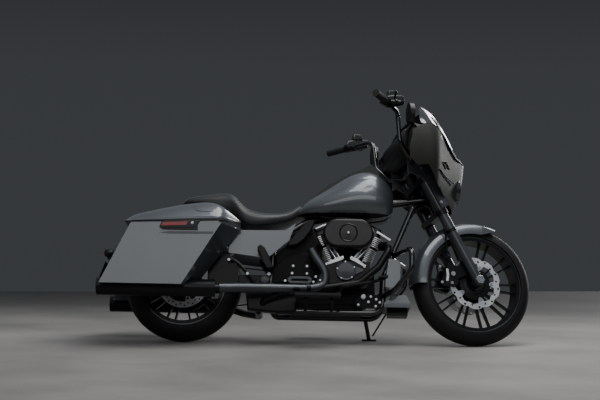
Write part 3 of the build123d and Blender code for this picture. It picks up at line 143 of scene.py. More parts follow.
LAMPS = [
    # name, place, target, width, depth, watts
    ("sky_panel", (1.1, -0.4, 4.4), (0.3, 0.0, 0.6), 5.4, 2.4, 180.0),
    ("side_panel", (0.5, -7.0, 3.9), (0.0, 0.0, 0.5), 8.0, 2.2, 86.0),
    ("rim_panel", (4.7, 9.0, 3.1), (0.7, 0.0, 1.2), 3.0, 3.6, 210.0),
    ("edge_panel", (4.6, 4.2, 1.6), (0.9, 0.0, 0.6), 0.6, 1.8, 60.0),
]
for name, lamp_place, target, width, depth, watts in LAMPS:
    light = bpy.data.lights.new(name, "AREA")
    light.shape = "RECTANGLE"
    light.size = width
    light.size_y = depth
    light.energy = watts
    lamp = bpy.data.objects.new(name, light)
    aim = (Vector(target) - Vector(lamp_place)).to_track_quat("-Z", "Y")
    lamp.matrix_world = Matrix.Translation(lamp_place) @ aim.to_matrix().to_4x4()
    bpy.context.scene.collection.objects.link(lamp)

CAMERA_PLACE = (-0.0196, -9.5065, 0.830)
CAMERA_YAW = math.radians(-0.4234)
CAMERA_PITCH = math.radians(-0.1332)
CAMERA_ROLL = math.radians(0.7463)
lens = bpy.data.cameras.new("camera")
lens.lens = 99.72
lens.sensor_width = 36.0
lens.clip_end = 200.0
camera = bpy.data.objects.new("camera", lens)
look = Vector((
    math.sin(CAMERA_YAW) * math.cos(CAMERA_PITCH),
    math.cos(CAMERA_YAW) * math.cos(CAMERA_PITCH),
    math.sin(CAMERA_PITCH),
))
right = Vector((math.cos(CAMERA_YAW), -math.sin(CAMERA_YAW), 0.0))
up = right.cross(look)
rolled_right = right * math.cos(CAMERA_ROLL) + up * math.sin(CAMERA_ROLL)
rolled_up = up * math.cos(CAMERA_ROLL) - right * math.sin(CAMERA_ROLL)
turn = Matrix((rolled_right, rolled_up, -look)).transposed().to_4x4()
camera.matrix_world = Matrix.Translation(CAMERA_PLACE) @ turn
bpy.context.scene.collection.objects.link(camera)
bpy.context.scene.camera = camera

# ---- Frame, swingarm and stand ----
# A welded steel tube frame, its stand and its brackets in gloss black powder coat, with a cast
# swingarm in satin black.

# Every piece is drawn on the upright machine in millimetres, X forward from the rear axle, Y to
# the left and Z up, and then leaned onto its stand, with the steered pieces turned left first.
MM = 0.001
RAKE = math.radians(26.0)
STEER = math.radians(16.0)
LEAN = math.radians(-12.0)
SQUAT = math.radians(0.35049788)
LEANED = (
    Matrix.Translation((-0.7418, -0.1560, 0.0018793))
    @ Matrix.Rotation(SQUAT, 4, "Y")
    @ Matrix.Rotation(LEAN, 4, "X")
)
STEERING_FOOT = Vector((1.810, 0.0, 0.0))
STEERING_DIR = Vector((-math.sin(RAKE), 0.0, math.cos(RAKE)))
TURNED = (
    LEANED
    @ Matrix.Translation(STEERING_FOOT)
    @ Matrix.Rotation(STEER, 4, STEERING_DIR)
    @ Matrix.Translation(-STEERING_FOOT)
)
# Flat pieces are drawn in X, Z and the distance out from the middle, and stand on the right side.
RIGHT_SIDE = Matrix(((1, 0, 0, 0), (0, 0, -1, 0), (0, 1, 0, 0), (0, 0, 0, 1)))
SHARP = math.radians(35.0)
WELD_DISTANCE = 0.01
SIDES = ((-1, "right"), (1, "left"))
MOTTLE = 9.0


def surface(name, first, second, roughness, metallic=0.0, coat=0.0, grain=2.0, depth=0.02,
            gleam=0.5):
    """A material with two close tones in slow clouds and a fine grain: size and depth in mm."""
    made, tree, spot = material(name)
    cloud = noise(tree, spot, MOTTLE, 5.0)
    tone = ramp(tree, cloud, [(0.35, first), (0.65, second)])
    shine = add(tree, "ShaderNodeMapRange", {
        "Value": cloud, "To Min": roughness * 0.85, "To Max": roughness * 1.15}).outputs["Result"]
    fine = noise(tree, spot, 1 / (grain * MM), 3.0)
    shaded(tree, {
        "Base Color": tone, "Roughness": shine, "Metallic": metallic,
        "Coat Weight": coat, "Coat Roughness": 0.04, "Specular IOR Level": gleam,
        "Normal": bumped(tree, fine, 1.0, depth * MM)})
    return made


def dress(finish, *names):
    """Give CAD nodes a material."""
    for name in names:
        nodes[name].data.materials.clear()
        nodes[name].data.materials.append(finish)


def settle(name, mesh, finish, body, place=LEANED, sharp=SHARP):
    """A finished mesh in metres on the upright machine, put in place and riding on its body."""
    mesh.transform(place)
    mesh.materials.clear()
    mesh.materials.append(finish)
    mesh.shade_smooth()
    mesh.set_sharp_from_angle(angle=sharp)
    piece = bpy.data.objects.new(name, mesh)
    bpy.context.scene.collection.objects.link(piece)
    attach(piece, body)
    return piece


def baked(holder):
    """The evaluated mesh of an object, which is then removed."""
    if holder.name not in bpy.context.scene.collection.objects:
        bpy.context.scene.collection.objects.link(holder)
    bpy.context.view_layer.update()
    ready = holder.evaluated_get(bpy.context.evaluated_depsgraph_get())
    mesh = bpy.data.meshes.new_from_object(ready)
    bpy.data.objects.remove(holder)
    return mesh


def rod(points, radius, sides=4, order=2):
    """A round bar along corner points in mm; with order 3 its corners are eased into curves."""
    line = bpy.data.curves.new("rod", "CURVE")
    line.dimensions = "3D"
    spline = line.splines.new("NURBS")
    spline.points.add(len(points) - 1)
    for point, corner in zip(spline.points, points):
        point.co = (*(value * MM for value in corner), 1.0)
    spline.order_u = order
    spline.use_endpoint_u = True
    spline.resolution_u = 12
    line.bevel_depth = radius * MM
    line.bevel_resolution = sides
    line.use_fill_caps = True
    return baked(bpy.data.objects.new("rod", line))


def flat(outline, low, high, holes=(), edge=0.6):
    """A plate with its outline and holes in X, Z mm, between two distances out from the middle."""
    shape = bpy.data.curves.new("flat", "CURVE")
    shape.dimensions = "2D"
    shape.fill_mode = "BOTH"
    for loop in (outline, *holes):
        spline = shape.splines.new("POLY")
        spline.points.add(len(loop) - 1)
        for point, (x, z) in zip(spline.points, loop):
            point.co = (x * MM, z * MM, 0.0, 1.0)
        spline.use_cyclic_u = True
    shape.offset = -edge * MM
    shape.bevel_depth = edge * MM
    shape.bevel_resolution = 1
    shape.extrude = max((high - low) / 2 - edge, 0.01) * MM
    mesh = baked(bpy.data.objects.new("flat", shape))
    mesh.transform(RIGHT_SIDE @ Matrix.Translation((0.0, 0.0, (low + high) / 2 * MM)))
    return mesh


def on_circle(x, z, radius, angle):
    """A point in X, Z on a circle."""
    return (x + radius * math.cos(angle), z + radius * math.sin(angle))


def disc_outline(x, z, radius, count=32, first=0.0):
    """The corners of a circle in X, Z."""
    return [on_circle(x, z, radius, first + math.tau * i / count) for i in range(count)]


def ringed(points, count, flipped=False):
    """A closed mesh of rings of points in mm, with a face across its first and last ring."""
    faces = []
    for row in range(len(points) // count - 1):
        for i in range(count):
            a, b = row * count + i, row * count + (i + 1) % count
            faces.append((a, b, b + count, a + count))
    faces.append(tuple(range(count))[::-1])
    faces.append(tuple(range(len(points) - count, len(points))))
    if flipped:
        faces = [face[::-1] for face in faces]
    mesh = bpy.data.meshes.new("ringed")
    mesh.from_pydata([tuple(value * MM for value in point) for point in points], [], faces)
    return mesh


def turned(profile, x, z, count=32):
    """A turned piece on the right side: its profile is radius and distance out, in mm."""
    points = [
        (across, -out, high)
        for radius, out in profile for across, high in disc_outline(x, z, radius, count)]
    return ringed(points, count)


def joined(meshes):
    """Several meshes as one."""
    together = bpy.data.meshes.new("joined")
    points, faces = [], []
    for mesh in meshes:
        start = len(points)
        points += [tuple(vertex.co) for vertex in mesh.vertices]
        faces += [tuple(start + i for i in face.vertices) for face in mesh.polygons]
    together.from_pydata(points, [], faces)
    return together


def upright_mesh(name, place):
    """A copy of a CAD node's mesh, put back on the upright machine."""
    mesh = nodes[name].data.copy()
    mesh.transform(place.inverted() @ nodes[name].matrix_world)
    return mesh


def carved(name, place, cutters):
    """A CAD node's mesh on the upright machine, with prisms cut away from it."""
    holder = bpy.data.objects.new("carved", upright_mesh(name, place))
    weld = holder.modifiers.new("weld", "WELD")
    weld.merge_threshold = WELD_DISTANCE * MM
    tool = bpy.data.objects.new("cutter", joined(cutters))
    bpy.context.scene.collection.objects.link(tool)
    cut = holder.modifiers.new("cut", "BOOLEAN")
    cut.operation = "DIFFERENCE"
    cut.solver = "EXACT"
    cut.object = tool
    mesh = baked(holder)
    bpy.data.objects.remove(tool)
    return mesh


def other_side(mesh):
    """A mesh mirrored from the right side to the left."""
    twin = mesh.copy()
    twin.transform(Matrix.Scale(-1, 4, Vector((0, 1, 0))))
    twin.flip_normals()
    return twin


def both_sides(name, mesh, finish, body, place=LEANED):
    """A piece of the right side and its mirror image, each put in place on its own."""
    twin = other_side(mesh)
    settle(f"{name}_right", mesh, finish, body, place)
    settle(f"{name}_left", twin, finish, body, place)


def twinned(mesh):
    """A mesh and its mirror image as one."""
    return joined([mesh, other_side(mesh)])


# Gloss powder coat: deep black with slight orange peel and clean, sharp highlights.
powder_black = surface(
    "black_powder_coat", "#0c0d0e", "#101113", 0.22, coat=0.6, grain=3.0, depth=0.02)
dress(powder_black, "frame_backbone", "frame_cradle_right", "frame_cradle_left", "rear_frame",
      "engine_guard", "bag_brackets", "side_stand", "handlebar")
# Zinc-plated steel: pale grey metal, a little dull, for bolts and axles.
zinc_steel = surface(
    "zinc_plated_steel", "#a9acb0", "#c2c5c9", 0.3, metallic=1.0, grain=0.8, depth=0.01)
dress(zinc_steel, "rear_axle", "front_axle")

# ---- Bolts ----
# Hex heads on washers, in steel, at a pattern of points. Half of each is sunk in its cover.
HEAD_SIDES = 6
WASHER_SIDES = 20
WASHER_THICK = 3.0


def pattern_tree(name, sockets):
    """A pattern's tree and its inputs: a geometry, the sockets listed and a finish."""
    tree = bpy.data.node_groups.new(name, "GeometryNodeTree")
    listed = [("Geometry", "NodeSocketGeometry"), *sockets, ("Finish", "NodeSocketMaterial")]
    for socket, kind in listed:
        tree.interface.new_socket(socket, in_out="INPUT", socket_type=kind)
    tree.interface.new_socket("Geometry", in_out="OUTPUT", socket_type="NodeSocketGeometry")
    return tree, add(tree, "NodeGroupInput").outputs


def repeated(tree, points, piece, finish):
    """End a pattern in copies of a piece on points, made real and given a finish."""
    copies = add(tree, "GeometryNodeInstanceOnPoints", {"Points": points, "Instance": piece})
    real = add(tree, "GeometryNodeRealizeInstances", {"Geometry": copies.outputs["Instances"]})
    coloured = add(tree, "GeometryNodeSetMaterial", {
        "Geometry": real.outputs["Geometry"], "Material": finish})
    add(tree, "NodeGroupOutput", {"Geometry": coloured.outputs["Geometry"]})


head_tree, given = pattern_tree("bolt_heads", [
    ("Head Radius", "NodeSocketFloat"), ("Head Height", "NodeSocketFloat"),
    ("Washer Radius", "NodeSocketFloat")])
stack = add(head_tree, "GeometryNodeJoinGeometry")
for sides, radius, depth in (
    (HEAD_SIDES, given["Head Radius"], given["Head Height"]),
    (WASHER_SIDES, given["Washer Radius"], WASHER_THICK * MM),
):
    cylinder = add(head_tree, "GeometryNodeMeshCylinder", {
        "Vertices": sides, "Radius": radius, "Depth": depth})
    head_tree.links.new(cylinder.outputs["Mesh"], stack.inputs["Geometry"])
repeated(head_tree, given["Geometry"], stack.outputs["Geometry"], given["Finish"])


def patterned(seed, tree, values):
    """What a pattern makes of a mesh: values are set by the inputs' names."""
    holder = bpy.data.objects.new("pattern", seed)
    pattern = holder.modifiers.new("pattern", "NODES")
    pattern.node_group = tree
    for item in tree.interface.items_tree:
        if item.name in values and item.in_out == "INPUT":
            pattern[item.identifier] = values[item.name]
    return baked(holder)


def bolts(name, places, out, body, head_radius, washer_radius, height, place=LEANED):
    """Hex heads on the right side at X, Z places in mm, a distance out from the middle."""
    seed = bpy.data.meshes.new("bolt_places")
    seed.from_pydata([(x * MM, z * MM, out * MM) for x, z in places], [], [])
    mesh = patterned(seed, head_tree, {
        "Head Radius": head_radius * MM, "Head Height": 2 * height * MM,
        "Washer Radius": washer_radius * MM, "Finish": zinc_steel})
    mesh.transform(RIGHT_SIDE)
    settle(name, mesh, zinc_steel, body, place)


# ---- Engine ----
# A V-twin with cast cases and barrels in black crinkle paint. The fin tips and lifter blocks are
# machined bright, the pushrod tubes are chromed, and the timing cover is satin grey.

# Crinkle paint over cast aluminium: very dark, rough, with a fine pebbled grain.
crinkle_black = surface(
    "black_crinkle_paint", "#050506", "#08090a", 0.55, grain=1.6, depth=0.25, gleam=0.2)
# Satin black paint on smooth castings: dark with soft highlights.
satin_black = surface(
    "satin_black_paint", "#060708", "#090a0b", 0.38, coat=0.05, grain=2.5, depth=0.03, gleam=0.25)
# Machined aluminium: bright cut metal with a faint tool grain.
machined_aluminium = surface(
    "machined_aluminium", "#dcdedf", "#efefee", 0.34, metallic=0.6, grain=0.7, depth=0.02)
# Satin grey paint: mid grey with a soft even sheen.
satin_grey = surface(
    "satin_grey_paint", "#3b3e42", "#44474c", 0.38, metallic=0.3, coat=0.2, grain=1.5, depth=0.03)
# Chromed tube: mirror bright.
chrome = surface(
    "bright_chrome", "#cfd2d6", "#dcdfe3", 0.08, metallic=1.0, grain=4.0, depth=0.003)
dress(crinkle_black, "engine_cases", "cylinders")
dress(
    satin_black, "primary_cover", "rocker_boxes", "cam_cover", "rear_pulley", "swingarm",
    "triple_clamps")
dress(chrome, "pushrods")

CRANK = Vector((920.0, 0.0, 350.0))
VEE_HALF = math.radians(22.5)
HEAD_HALF_X = 96.0
TIP_HALF_X = 87.0
HEAD_FIRST = 236.0
HEAD_FINS = 6
FIN_HALF_Y = 96.0
FIN_CORNER = 40.0
FIN_FIRST = 100.0
FIN_PITCH = 10.5
FIN_THICK = 4.5
FIN_COUNT = 12
TIP_PROUD = 2.0
TIP_SUNK = 14.0
TIP_TAIL = 12.0
TIP_MARGIN = 0.25

tip_tree, given = pattern_tree(
    "fin_tips", [("Fins", "NodeSocketInt"), ("Pitch", "NodeSocketFloat")])
step = add(tip_tree, "ShaderNodeCombineXYZ", {"Z": given["Pitch"]}).outputs["Vector"]
stations = add(tip_tree, "GeometryNodeMeshLine", {
    "Count": given["Fins"], "Offset": step}).outputs["Mesh"]
repeated(tip_tree, stations, given["Geometry"], given["Finish"])


def fin_tip(outward, half):
    """The machined band on one fin's outer corner, drawn about the cylinder's axis in metres."""
    points, faces = [], []
    arc = [math.radians(a) for a in range(0, 91, 9)]
    pivot = Vector((half - FIN_CORNER, -(FIN_HALF_Y - FIN_CORNER)))
    line = [(pivot.x + FIN_CORNER * math.cos(a), pivot.y - FIN_CORNER * math.sin(a)) for a in arc]
    line.append((pivot.x - TIP_TAIL, -FIN_HALF_Y))
    for (x, y), inner in [(corner, inner) for inner in (TIP_PROUD, -TIP_SUNK) for corner in line]:
        spot = Vector((x, y)) + (Vector((x, y)) - pivot).normalized() * inner
        for z in (-TIP_MARGIN, FIN_THICK + TIP_MARGIN):
            points.append((outward * spot.x * MM, spot.y * MM, z * MM))
    count = len(line)
    outer = [(2 * i, 2 * i + 1) for i in range(count)]
    inside = [(2 * (i + count), 2 * (i + count) + 1) for i in range(count)]
    for i in range(count - 1):
        (a, b), (c, d) = outer[i], outer[i + 1]
        (e, f), (g, h) = inside[i], inside[i + 1]
        faces += [(a, c, d, b), (e, f, h, g), (b, d, h, f), (a, e, g, c)]
    faces += [(outer[0][0], outer[0][1], inside[0][1], inside[0][0])]
    faces += [(outer[-1][0], inside[-1][0], inside[-1][1], outer[-1][1])]
    if outward < 0:
        faces = [tuple(reversed(face)) for face in faces]
    mesh = bpy.data.meshes.new("fin_tip")
    mesh.from_pydata(points, [], faces)
    return mesh


TIP_SETS = [
    # name, lean, side, half width, first fin, fins
    ("rear_fin_tips", -VEE_HALF, -1, TIP_HALF_X, FIN_FIRST, FIN_COUNT),
    ("front_fin_tips", VEE_HALF, 1, TIP_HALF_X, FIN_FIRST, FIN_COUNT),
    ("rear_head_tips", -VEE_HALF, -1, HEAD_HALF_X, HEAD_FIRST, HEAD_FINS),
    ("front_head_tips", VEE_HALF, 1, HEAD_HALF_X, HEAD_FIRST, HEAD_FINS),
]
for name, lean, outward, half, first_fin, fins in TIP_SETS:
    tips = patterned(fin_tip(outward, half), tip_tree, {
        "Fins": fins, "Pitch": FIN_PITCH * MM, "Finish": machined_aluminium})
    tips.transform(
        Matrix.Translation(CRANK * MM)
        @ Matrix.Rotation(lean, 4, "Y")
        @ Matrix.Translation((0, 0, first_fin * MM)))
    settle(name, tips, machined_aluminium, "chassis")

# Lifter blocks and rocker edges, milled bright.
BLOCKS = [
    [
        (800, 428), (858, 448), (896, 462), (899, 478), (880, 480), (850, 470), (838, 458),
        (796, 440)
    ],
    [
        (935, 464), (966, 450), (1018, 420), (1026, 432), (996, 452), (984, 464), (960, 476),
        (941, 480)
    ],
]
for index, block in enumerate(BLOCKS):
    settle(
        f"lifter_block_{index}", flat(block, 139.0, 143.5, edge=1.5), machined_aluminium,
        "chassis")
bolts(
    "lifter_bolts", [(812, 440), (890, 472), (946, 472), (1016, 424)], 143.5, "chassis", 5.0, 6.5,
    4.0)
ROCKER_EDGES = [
    [(732, 645), (742, 641), (800, 666), (797, 675)],
    [(1082, 628), (1160, 582), (1166, 590), (1088, 638)],
]
for index, block in enumerate(ROCKER_EDGES):
    settle(
        f"rocker_edge_{index}", flat(block, 92.0, 98.5, edge=1.2), machined_aluminium, "chassis")

# Timing cover: a satin grey dome with a rolled lip and five screws.
DOME = [
    (56.0, 155.0), (56.0, 160.0), (53.0, 162.5), (49.0, 162.5), (46.0, 160.5), (20.0, 163.5),
    (0.5, 164.0)]
settle("timing_cover", turned(DOME, 913, 398, 48), satin_grey, "chassis")
bolts("timing_screws", disc_outline(913, 398, 50, 5, 0.4), 162.0, "chassis", 3.2, 4.5, 2.5)
LUG = [(960, 372), (1012, 398), (1012, 410), (958, 428)]
settle("timing_lug", flat(LUG, 138.0, 150.0, edge=3.0), satin_grey, "chassis")

# Gearbox side cover with its bolts and a slotted grey plate below.
GEARBOX_BOLTS = [
    (617, 424), (695, 424), (612, 382), (695, 382), (574, 339), (732, 335), (745, 365)]
bolts("gearbox_bolts", GEARBOX_BOLTS, 125.0, "chassis", 5.0, 7.0, 6.0)
# A dark cast cover over the gearbox's upper end.
UPPER_CASE = [(494, 320), (506, 410), (562, 470), (620, 500), (700, 500), (724, 470), (728, 352)]
settle("gearbox_upper_cover", flat(UPPER_CASE, 60.0, 118.0, edge=6.0), crinkle_black, "chassis")
SLOT_PLATE = [
    (600, 324), (712, 324), (724, 336), (724, 352), (712, 364), (600, 364), (588, 352), (588, 336)]
SLOT_HOLE = [(612, 338), (700, 338), (704, 344), (700, 350), (612, 350), (608, 344)]
settle("gearbox_plate", flat(SLOT_PLATE, 123.0, 130.0, [SLOT_HOLE], 2.0), satin_grey, "chassis")

# Air cleaner: a satin black moulded cover with a bare round boss and one bright centre screw.
moulded_satin = surface(
    "satin_black_moulding", "#050607", "#08090a", 0.32, coat=0.05, grain=5.0, depth=0.01,
    gleam=0.4)
dress(moulded_satin, "air_cleaner")
BOSS = [
    (52.0, 224.0), (52.0, 230.0), (49.0, 232.0), (46.0, 231.0), (44.0, 229.0), (12.0, 230.5),
    (11.0, 235.0), (0.5, 235.5)]
settle("air_cleaner_boss", turned(BOSS, 922, 600, 48), moulded_satin, "chassis")
bolts("air_cleaner_screw", [(922, 600)], 235.0, "chassis", 4.0, 6.0, 3.0)

# Footboard bracket: a black plate over the lower rail with a cluster of plated bolts.
BRACKET = [(975, 190), (1110, 190), (1118, 232), (1096, 268), (992, 268), (966, 232)]
settle("board_bracket", flat(BRACKET, 128.0, 136.0, edge=2.0), crinkle_black, "chassis")
BRACKET_BOLTS = [(1041, 227), (1054, 257), (1084, 242), (1104, 225), (1082, 203), (985, 210)]
bolts("bracket_bolts", BRACKET_BOLTS, 136.0, "chassis", 5.0, 7.0, 7.0)
PIVOT_RING = [
    (14.0, 136.0), (14.0, 141.0), (12.0, 142.0), (7.0, 142.0), (6.5, 138.0), (0.5, 138.0)]
settle("bracket_pivot", turned(PIVOT_RING, 1012, 254, 32), zinc_steel, "chassis")
PIVOT_CAP = [
    (26.0, 168.0), (26.0, 173.0), (23.0, 175.0), (20.0, 175.0), (18.0, 173.0), (0.5, 173.5)]
settle("pivot_cap", turned(PIVOT_CAP, 462, 336, 40), satin_grey, "chassis")
bolts("pivot_screw", [(484, 369)], 172.0, "chassis", 5.0, 9.0, 4.0)

# Dark pressed covers: a long triangle from the tank's tail down to the side cover, a block over
# the gearbox, a guard below the pipes and a splash guard, with a strut and the peg mounts.
COVER = [
    (679, 662), (734, 688), (732, 655), (712, 616), (679, 569), (637, 536), (596, 528),
    (578, 538), (622, 603)]
settle("frame_side_cover", flat(COVER, 128.0, 166.0, edge=8.0), satin_black, "chassis")
BLOCK = [(516, 400), (516, 488), (640, 600), (728, 640), (770, 560), (780, 470), (740, 400)]
settle("battery_box", flat(BLOCK, 40.0, 112.0, edge=8.0), crinkle_black, "chassis")
GUARD = [(356, 270), (640, 268), (640, 160), (534, 152), (451, 158), (368, 166)]
settle("collector_guard", flat(GUARD, 96.0, 176.0, edge=10.0), satin_black, "chassis")
SPLASH = [(60, 296), (128, 400), (196, 470), (262, 480), (310, 400), (320, 296)]
settle("splash_guard", flat(SPLASH, 146.0, 160.0, edge=3.0), satin_black, "chassis")
STRUT = [(258, -182, 442), (288, -182, 452), (376, -182, 352), (404, -182, 318)]
settle("bag_strut", rod(STRUT, 9.0, 6, 3), satin_black, "chassis")
bolts("strut_bolts", [(259, 442), (364, 365)], 190.0, "chassis", 5.0, 8.0, 6.0)
PEG_MOUNT = [
    (437, 519), (458, 506), (476, 471), (498, 429), (499, 390), (484, 392), (446, 442),
    (420, 484), (418, 509)]
both_sides("peg_mount", flat(PEG_MOUNT, 170.0, 250.0, edge=8.0), satin_black, "chassis")

# ---- Exhaust ----
# Two steel header pipes under rolled heat shields join ahead of the right muffler, and a
# crossover feeds the left one. The pipes and mufflers are coated in satin black ceramic.

# Ceramic coat on steel: charcoal with a soft broad sheen.
ceramic_black = surface(
    "black_ceramic_coat", "#08090a", "#0c0d0e", 0.34, metallic=0.2, grain=1.2, depth=0.03,
    gleam=0.35)
# Dark chromed heat shield: blue-grey, smooth, with long soft streaks of light.
shield_grey = surface(
    "dark_chrome_shield", "#484b50", "#535659", 0.34, metallic=0.8, grain=4.0, depth=0.02)
dress(ceramic_black, "exhaust_pipes", "mufflers")
SHIELD_RADIUS = 24.5
HEADER_SHIELD = [
    (716, -172, 512), (736, -178, 470), (790, -182, 400), (800, -186, 352), (786, -192, 292),
    (690, -216, 281)]
PIPE_SHIELD = [
    (690, -220, 281), (560, -256, 275), (440, -282, 272), (330, -303, 268), (215, -326, 262)]
for name, path in (("rear_header_shield", HEADER_SHIELD), ("long_pipe_shield", PIPE_SHIELD)):
    settle(name, rod(path, SHIELD_RADIUS, 8, 3), shield_grey, "chassis")
settle(
    "header_clamp", rod([(712, -210, 284), (690, -217, 282)], 28.0, 8), ceramic_black, "chassis")
bolts("shield_screws", [(770, 330), (640, 279), (500, 274)], 226.0, "chassis", 3.5, 5.5, 3.0)
TIP_RING = [(48.4, 0.0), (48.4, 16.0), (44.0, 18.0), (40.5, 16.0), (40.5, 0.0)]
# Faces a turned piece to the rear.
REARWARD = Matrix.Rotation(math.radians(-90), 4, "Z")
for side_sign, name in SIDES:
    ring = turned(TIP_RING, 0, 0, 40)
    ring.transform(Matrix.Translation((-0.436, side_sign * 0.330, 0.257)) @ REARWARD)
    settle(f"muffler_lip_{name}", ring, satin_black, "chassis")

# ---- Wheels ----
# Cast aluminium wheels with paired spokes in satin black, plain road tyres, and stainless discs
# that float on black carriers.

# Tyre rubber: near black and dull, with dust in a fine moulded grain.
tyre_rubber, tree, spot = material("tyre_rubber")
tone = ramp(tree, noise(tree, spot, 14.0, 6.0), [(0.35, "#0a0a0a"), (0.7, "#101010")])
shaded(tree, {
    "Base Color": tone, "Roughness": 0.62, "Specular IOR Level": 0.35,
    "Normal": bumped(tree, noise(tree, spot, 600.0, 2.0), 1.0, 0.0001)})
dress(tyre_rubber, "front_tyre", "rear_tyre")
dress(satin_black, "front_wheel", "rear_wheel")
# Turned face of the rim: bare grey metal band between the tyre and the black barrel.
rim_grey = surface(
    "machined_rim_edge", "#4a4c50", "#585b60", 0.32, metallic=0.8, grain=0.8, depth=0.01)
# Stainless disc: bright ground steel with fine scratches.
ground_steel = surface(
    "ground_stainless", "#c9cbcd", "#dfe0e1", 0.36, metallic=0.65, grain=0.7, depth=0.02)

FRONT_HUB = (1625.0, 344.7)
REAR_HUB = (0.0, 327.5)
DISC_PETALS = 10
PETAL_DIP = 9.0
RIM_POINTS = 200
DISC_THICK = 5.0
DISC_LUGS = 5
LUG_DEPTH = 32.0
LUG_HALF = 0.13
WINDOW_POINTS = 160
BUTTON_CIRCLE = 97.0


def petal_outline(hub, outer):
    """The wavy rim of a disc."""
    loop = []
    for i in range(RIM_POINTS):
        angle = math.tau * i / RIM_POINTS
        wave = abs(math.sin(angle * DISC_PETALS / 2)) ** 1.6
        loop.append(on_circle(*hub, outer - PETAL_DIP * (1 - wave) ** 2, angle))
    return loop


def disc_band(hub, outer, inner, face, petals, drilled):
    """The ground band of a disc with its drilled holes and its lugs, on the right side."""
    rim = petal_outline(hub, outer) if petals else disc_outline(*hub, outer, 96)
    window = []
    for i in range(WINDOW_POINTS):
        angle = math.tau * i / WINDOW_POINTS
        near = abs((angle * DISC_LUGS / math.tau + 0.5) % 1 - 0.5)
        lug = LUG_DEPTH * (1 - (near / LUG_HALF) ** 4) if near < LUG_HALF else 0.0
        scallop = 5.0 if petals and 0.25 < near < 0.42 else 0.0
        window.append(on_circle(*hub, inner - lug + scallop, angle))
    holes = [window]
    for i in range(drilled):
        reach = (outer + inner) / 2 + (5.0 if i % 2 else -5.0)
        centre = on_circle(*hub, reach, math.tau * (i + 0.5) / drilled)
        holes.append(disc_outline(*centre, 6.5 if petals else 5.0, 12))
    for centre in disc_outline(*hub, BUTTON_CIRCLE, DISC_LUGS):
        holes.append(disc_outline(*centre, 7.5, 16))
    return flat(rim, face, face + DISC_THICK, holes, 0.4)


FRONT_CARRIER = [
    (92.0, 57.0), (92.0, 62.0), (70.0, 62.5), (56.0, 66.0), (40.0, 67.0), (34.0, 64.0),
    (34.0, 57.0)]
bands = twinned(disc_band(FRONT_HUB, 150.0, 116.0, 63.0, True, 20))
discs = settle("front_disc_bands", bands, ground_steel, "front_wheel", TURNED)
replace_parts(discs, "front_discs")
carriers = twinned(turned(FRONT_CARRIER, *FRONT_HUB, 60))
settle("front_disc_carriers", carriers, satin_black, "front_wheel", TURNED)
buttons = disc_outline(*FRONT_HUB, BUTTON_CIRCLE, DISC_LUGS)
bolts("front_disc_buttons", buttons, 67.0, "front_wheel", 5.0, 11.0, 3.0, TURNED)
rear_band = disc_band(REAR_HUB, 146.0, 112.0, 83.0, False, 36)
rear_disc = settle("rear_disc_band", rear_band, ground_steel, "rear_wheel")
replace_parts(rear_disc, "rear_disc")
REAR_CARRIER = [(86.0, 78.0), (86.0, 84.0), (60.0, 86.0), (34.0, 86.0), (34.0, 78.0)]
settle("rear_disc_carrier", turned(REAR_CARRIER, *REAR_HUB, 60), satin_black, "rear_wheel")


def rim_bands(hub, seat, half):
    """The turned edges of a rim on both sides, where it meets the tyre's beads."""
    profile = [
        (seat - 3.0, half - 1.0), (seat + 7.0, half + 8.6),
        (seat + 11.5, half + 8.6), (seat + 11.5, half + 2.0)]
    closed = turned(profile, *hub, 96)
    corners = [tuple(vertex.co) for vertex in closed.vertices]
    sides = [tuple(face.vertices) for face in closed.polygons if len(face.vertices) == 4]
    band = bpy.data.meshes.new("rim_band")
    band.from_pydata(corners, [], sides)
    return twinned(band)


settle("front_rim_bands", rim_bands(FRONT_HUB, 266.7, 44.0), rim_grey, "front_wheel", TURNED)
settle("rear_rim_bands", rim_bands(REAR_HUB, 228.6, 70.0), rim_grey, "rear_wheel")
AXLE_CAP = [
    (26.0, 150.0), (26.0, 157.0), (22.0, 160.0), (14.0, 160.0), (12.0, 157.0), (0.5, 157.0)]
settle("front_axle_cap", turned(AXLE_CAP, *FRONT_HUB, 6), zinc_steel, "fork", TURNED)

# ---- Fork, fender and brakes ----
# Fork tubes in graphite covers run down to cast sliders, which carry the painted fender and
# black four-piston calipers.

# Satin graphite paint: dark grey with a clear sheen, for fork covers and sliders.
graphite = surface(
    "satin_graphite_paint", "#36393c", "#3f4246", 0.36, metallic=0.35, coat=0.3, grain=1.5,
    depth=0.02)
dress(satin_black, "fork_tubes", "front_calipers", "rear_caliper")
dress(graphite, "fork_sliders", "fork_covers")
# Slate enamel under clear lacquer: mid grey with fine metal flake, deep gloss.
slate_enamel, tree, spot = material("slate_metallic_enamel")
tone = ramp(tree, noise(tree, spot, 2.5, 3.0), [(0.3, "#52565b"), (0.7, "#5b5f64")])
shaded(tree, {
    "Base Color": tone, "Metallic": 0.55, "Roughness": 0.38, "Coat Weight": 1.0,
    "Coat Roughness": 0.03,
    "Normal": bumped(tree, noise(tree, spot, 900.0, 1.0), 0.4, 0.00004)})

LEG_SLOPE = math.radians(28.5)
LEG_OUT = 120


def along_fork(distance, y):
    """A point on a fork leg in mm, a distance up from the axle."""
    x, z = FRONT_HUB
    return (x - math.sin(LEG_SLOPE) * distance, y, z + math.cos(LEG_SLOPE) * distance)


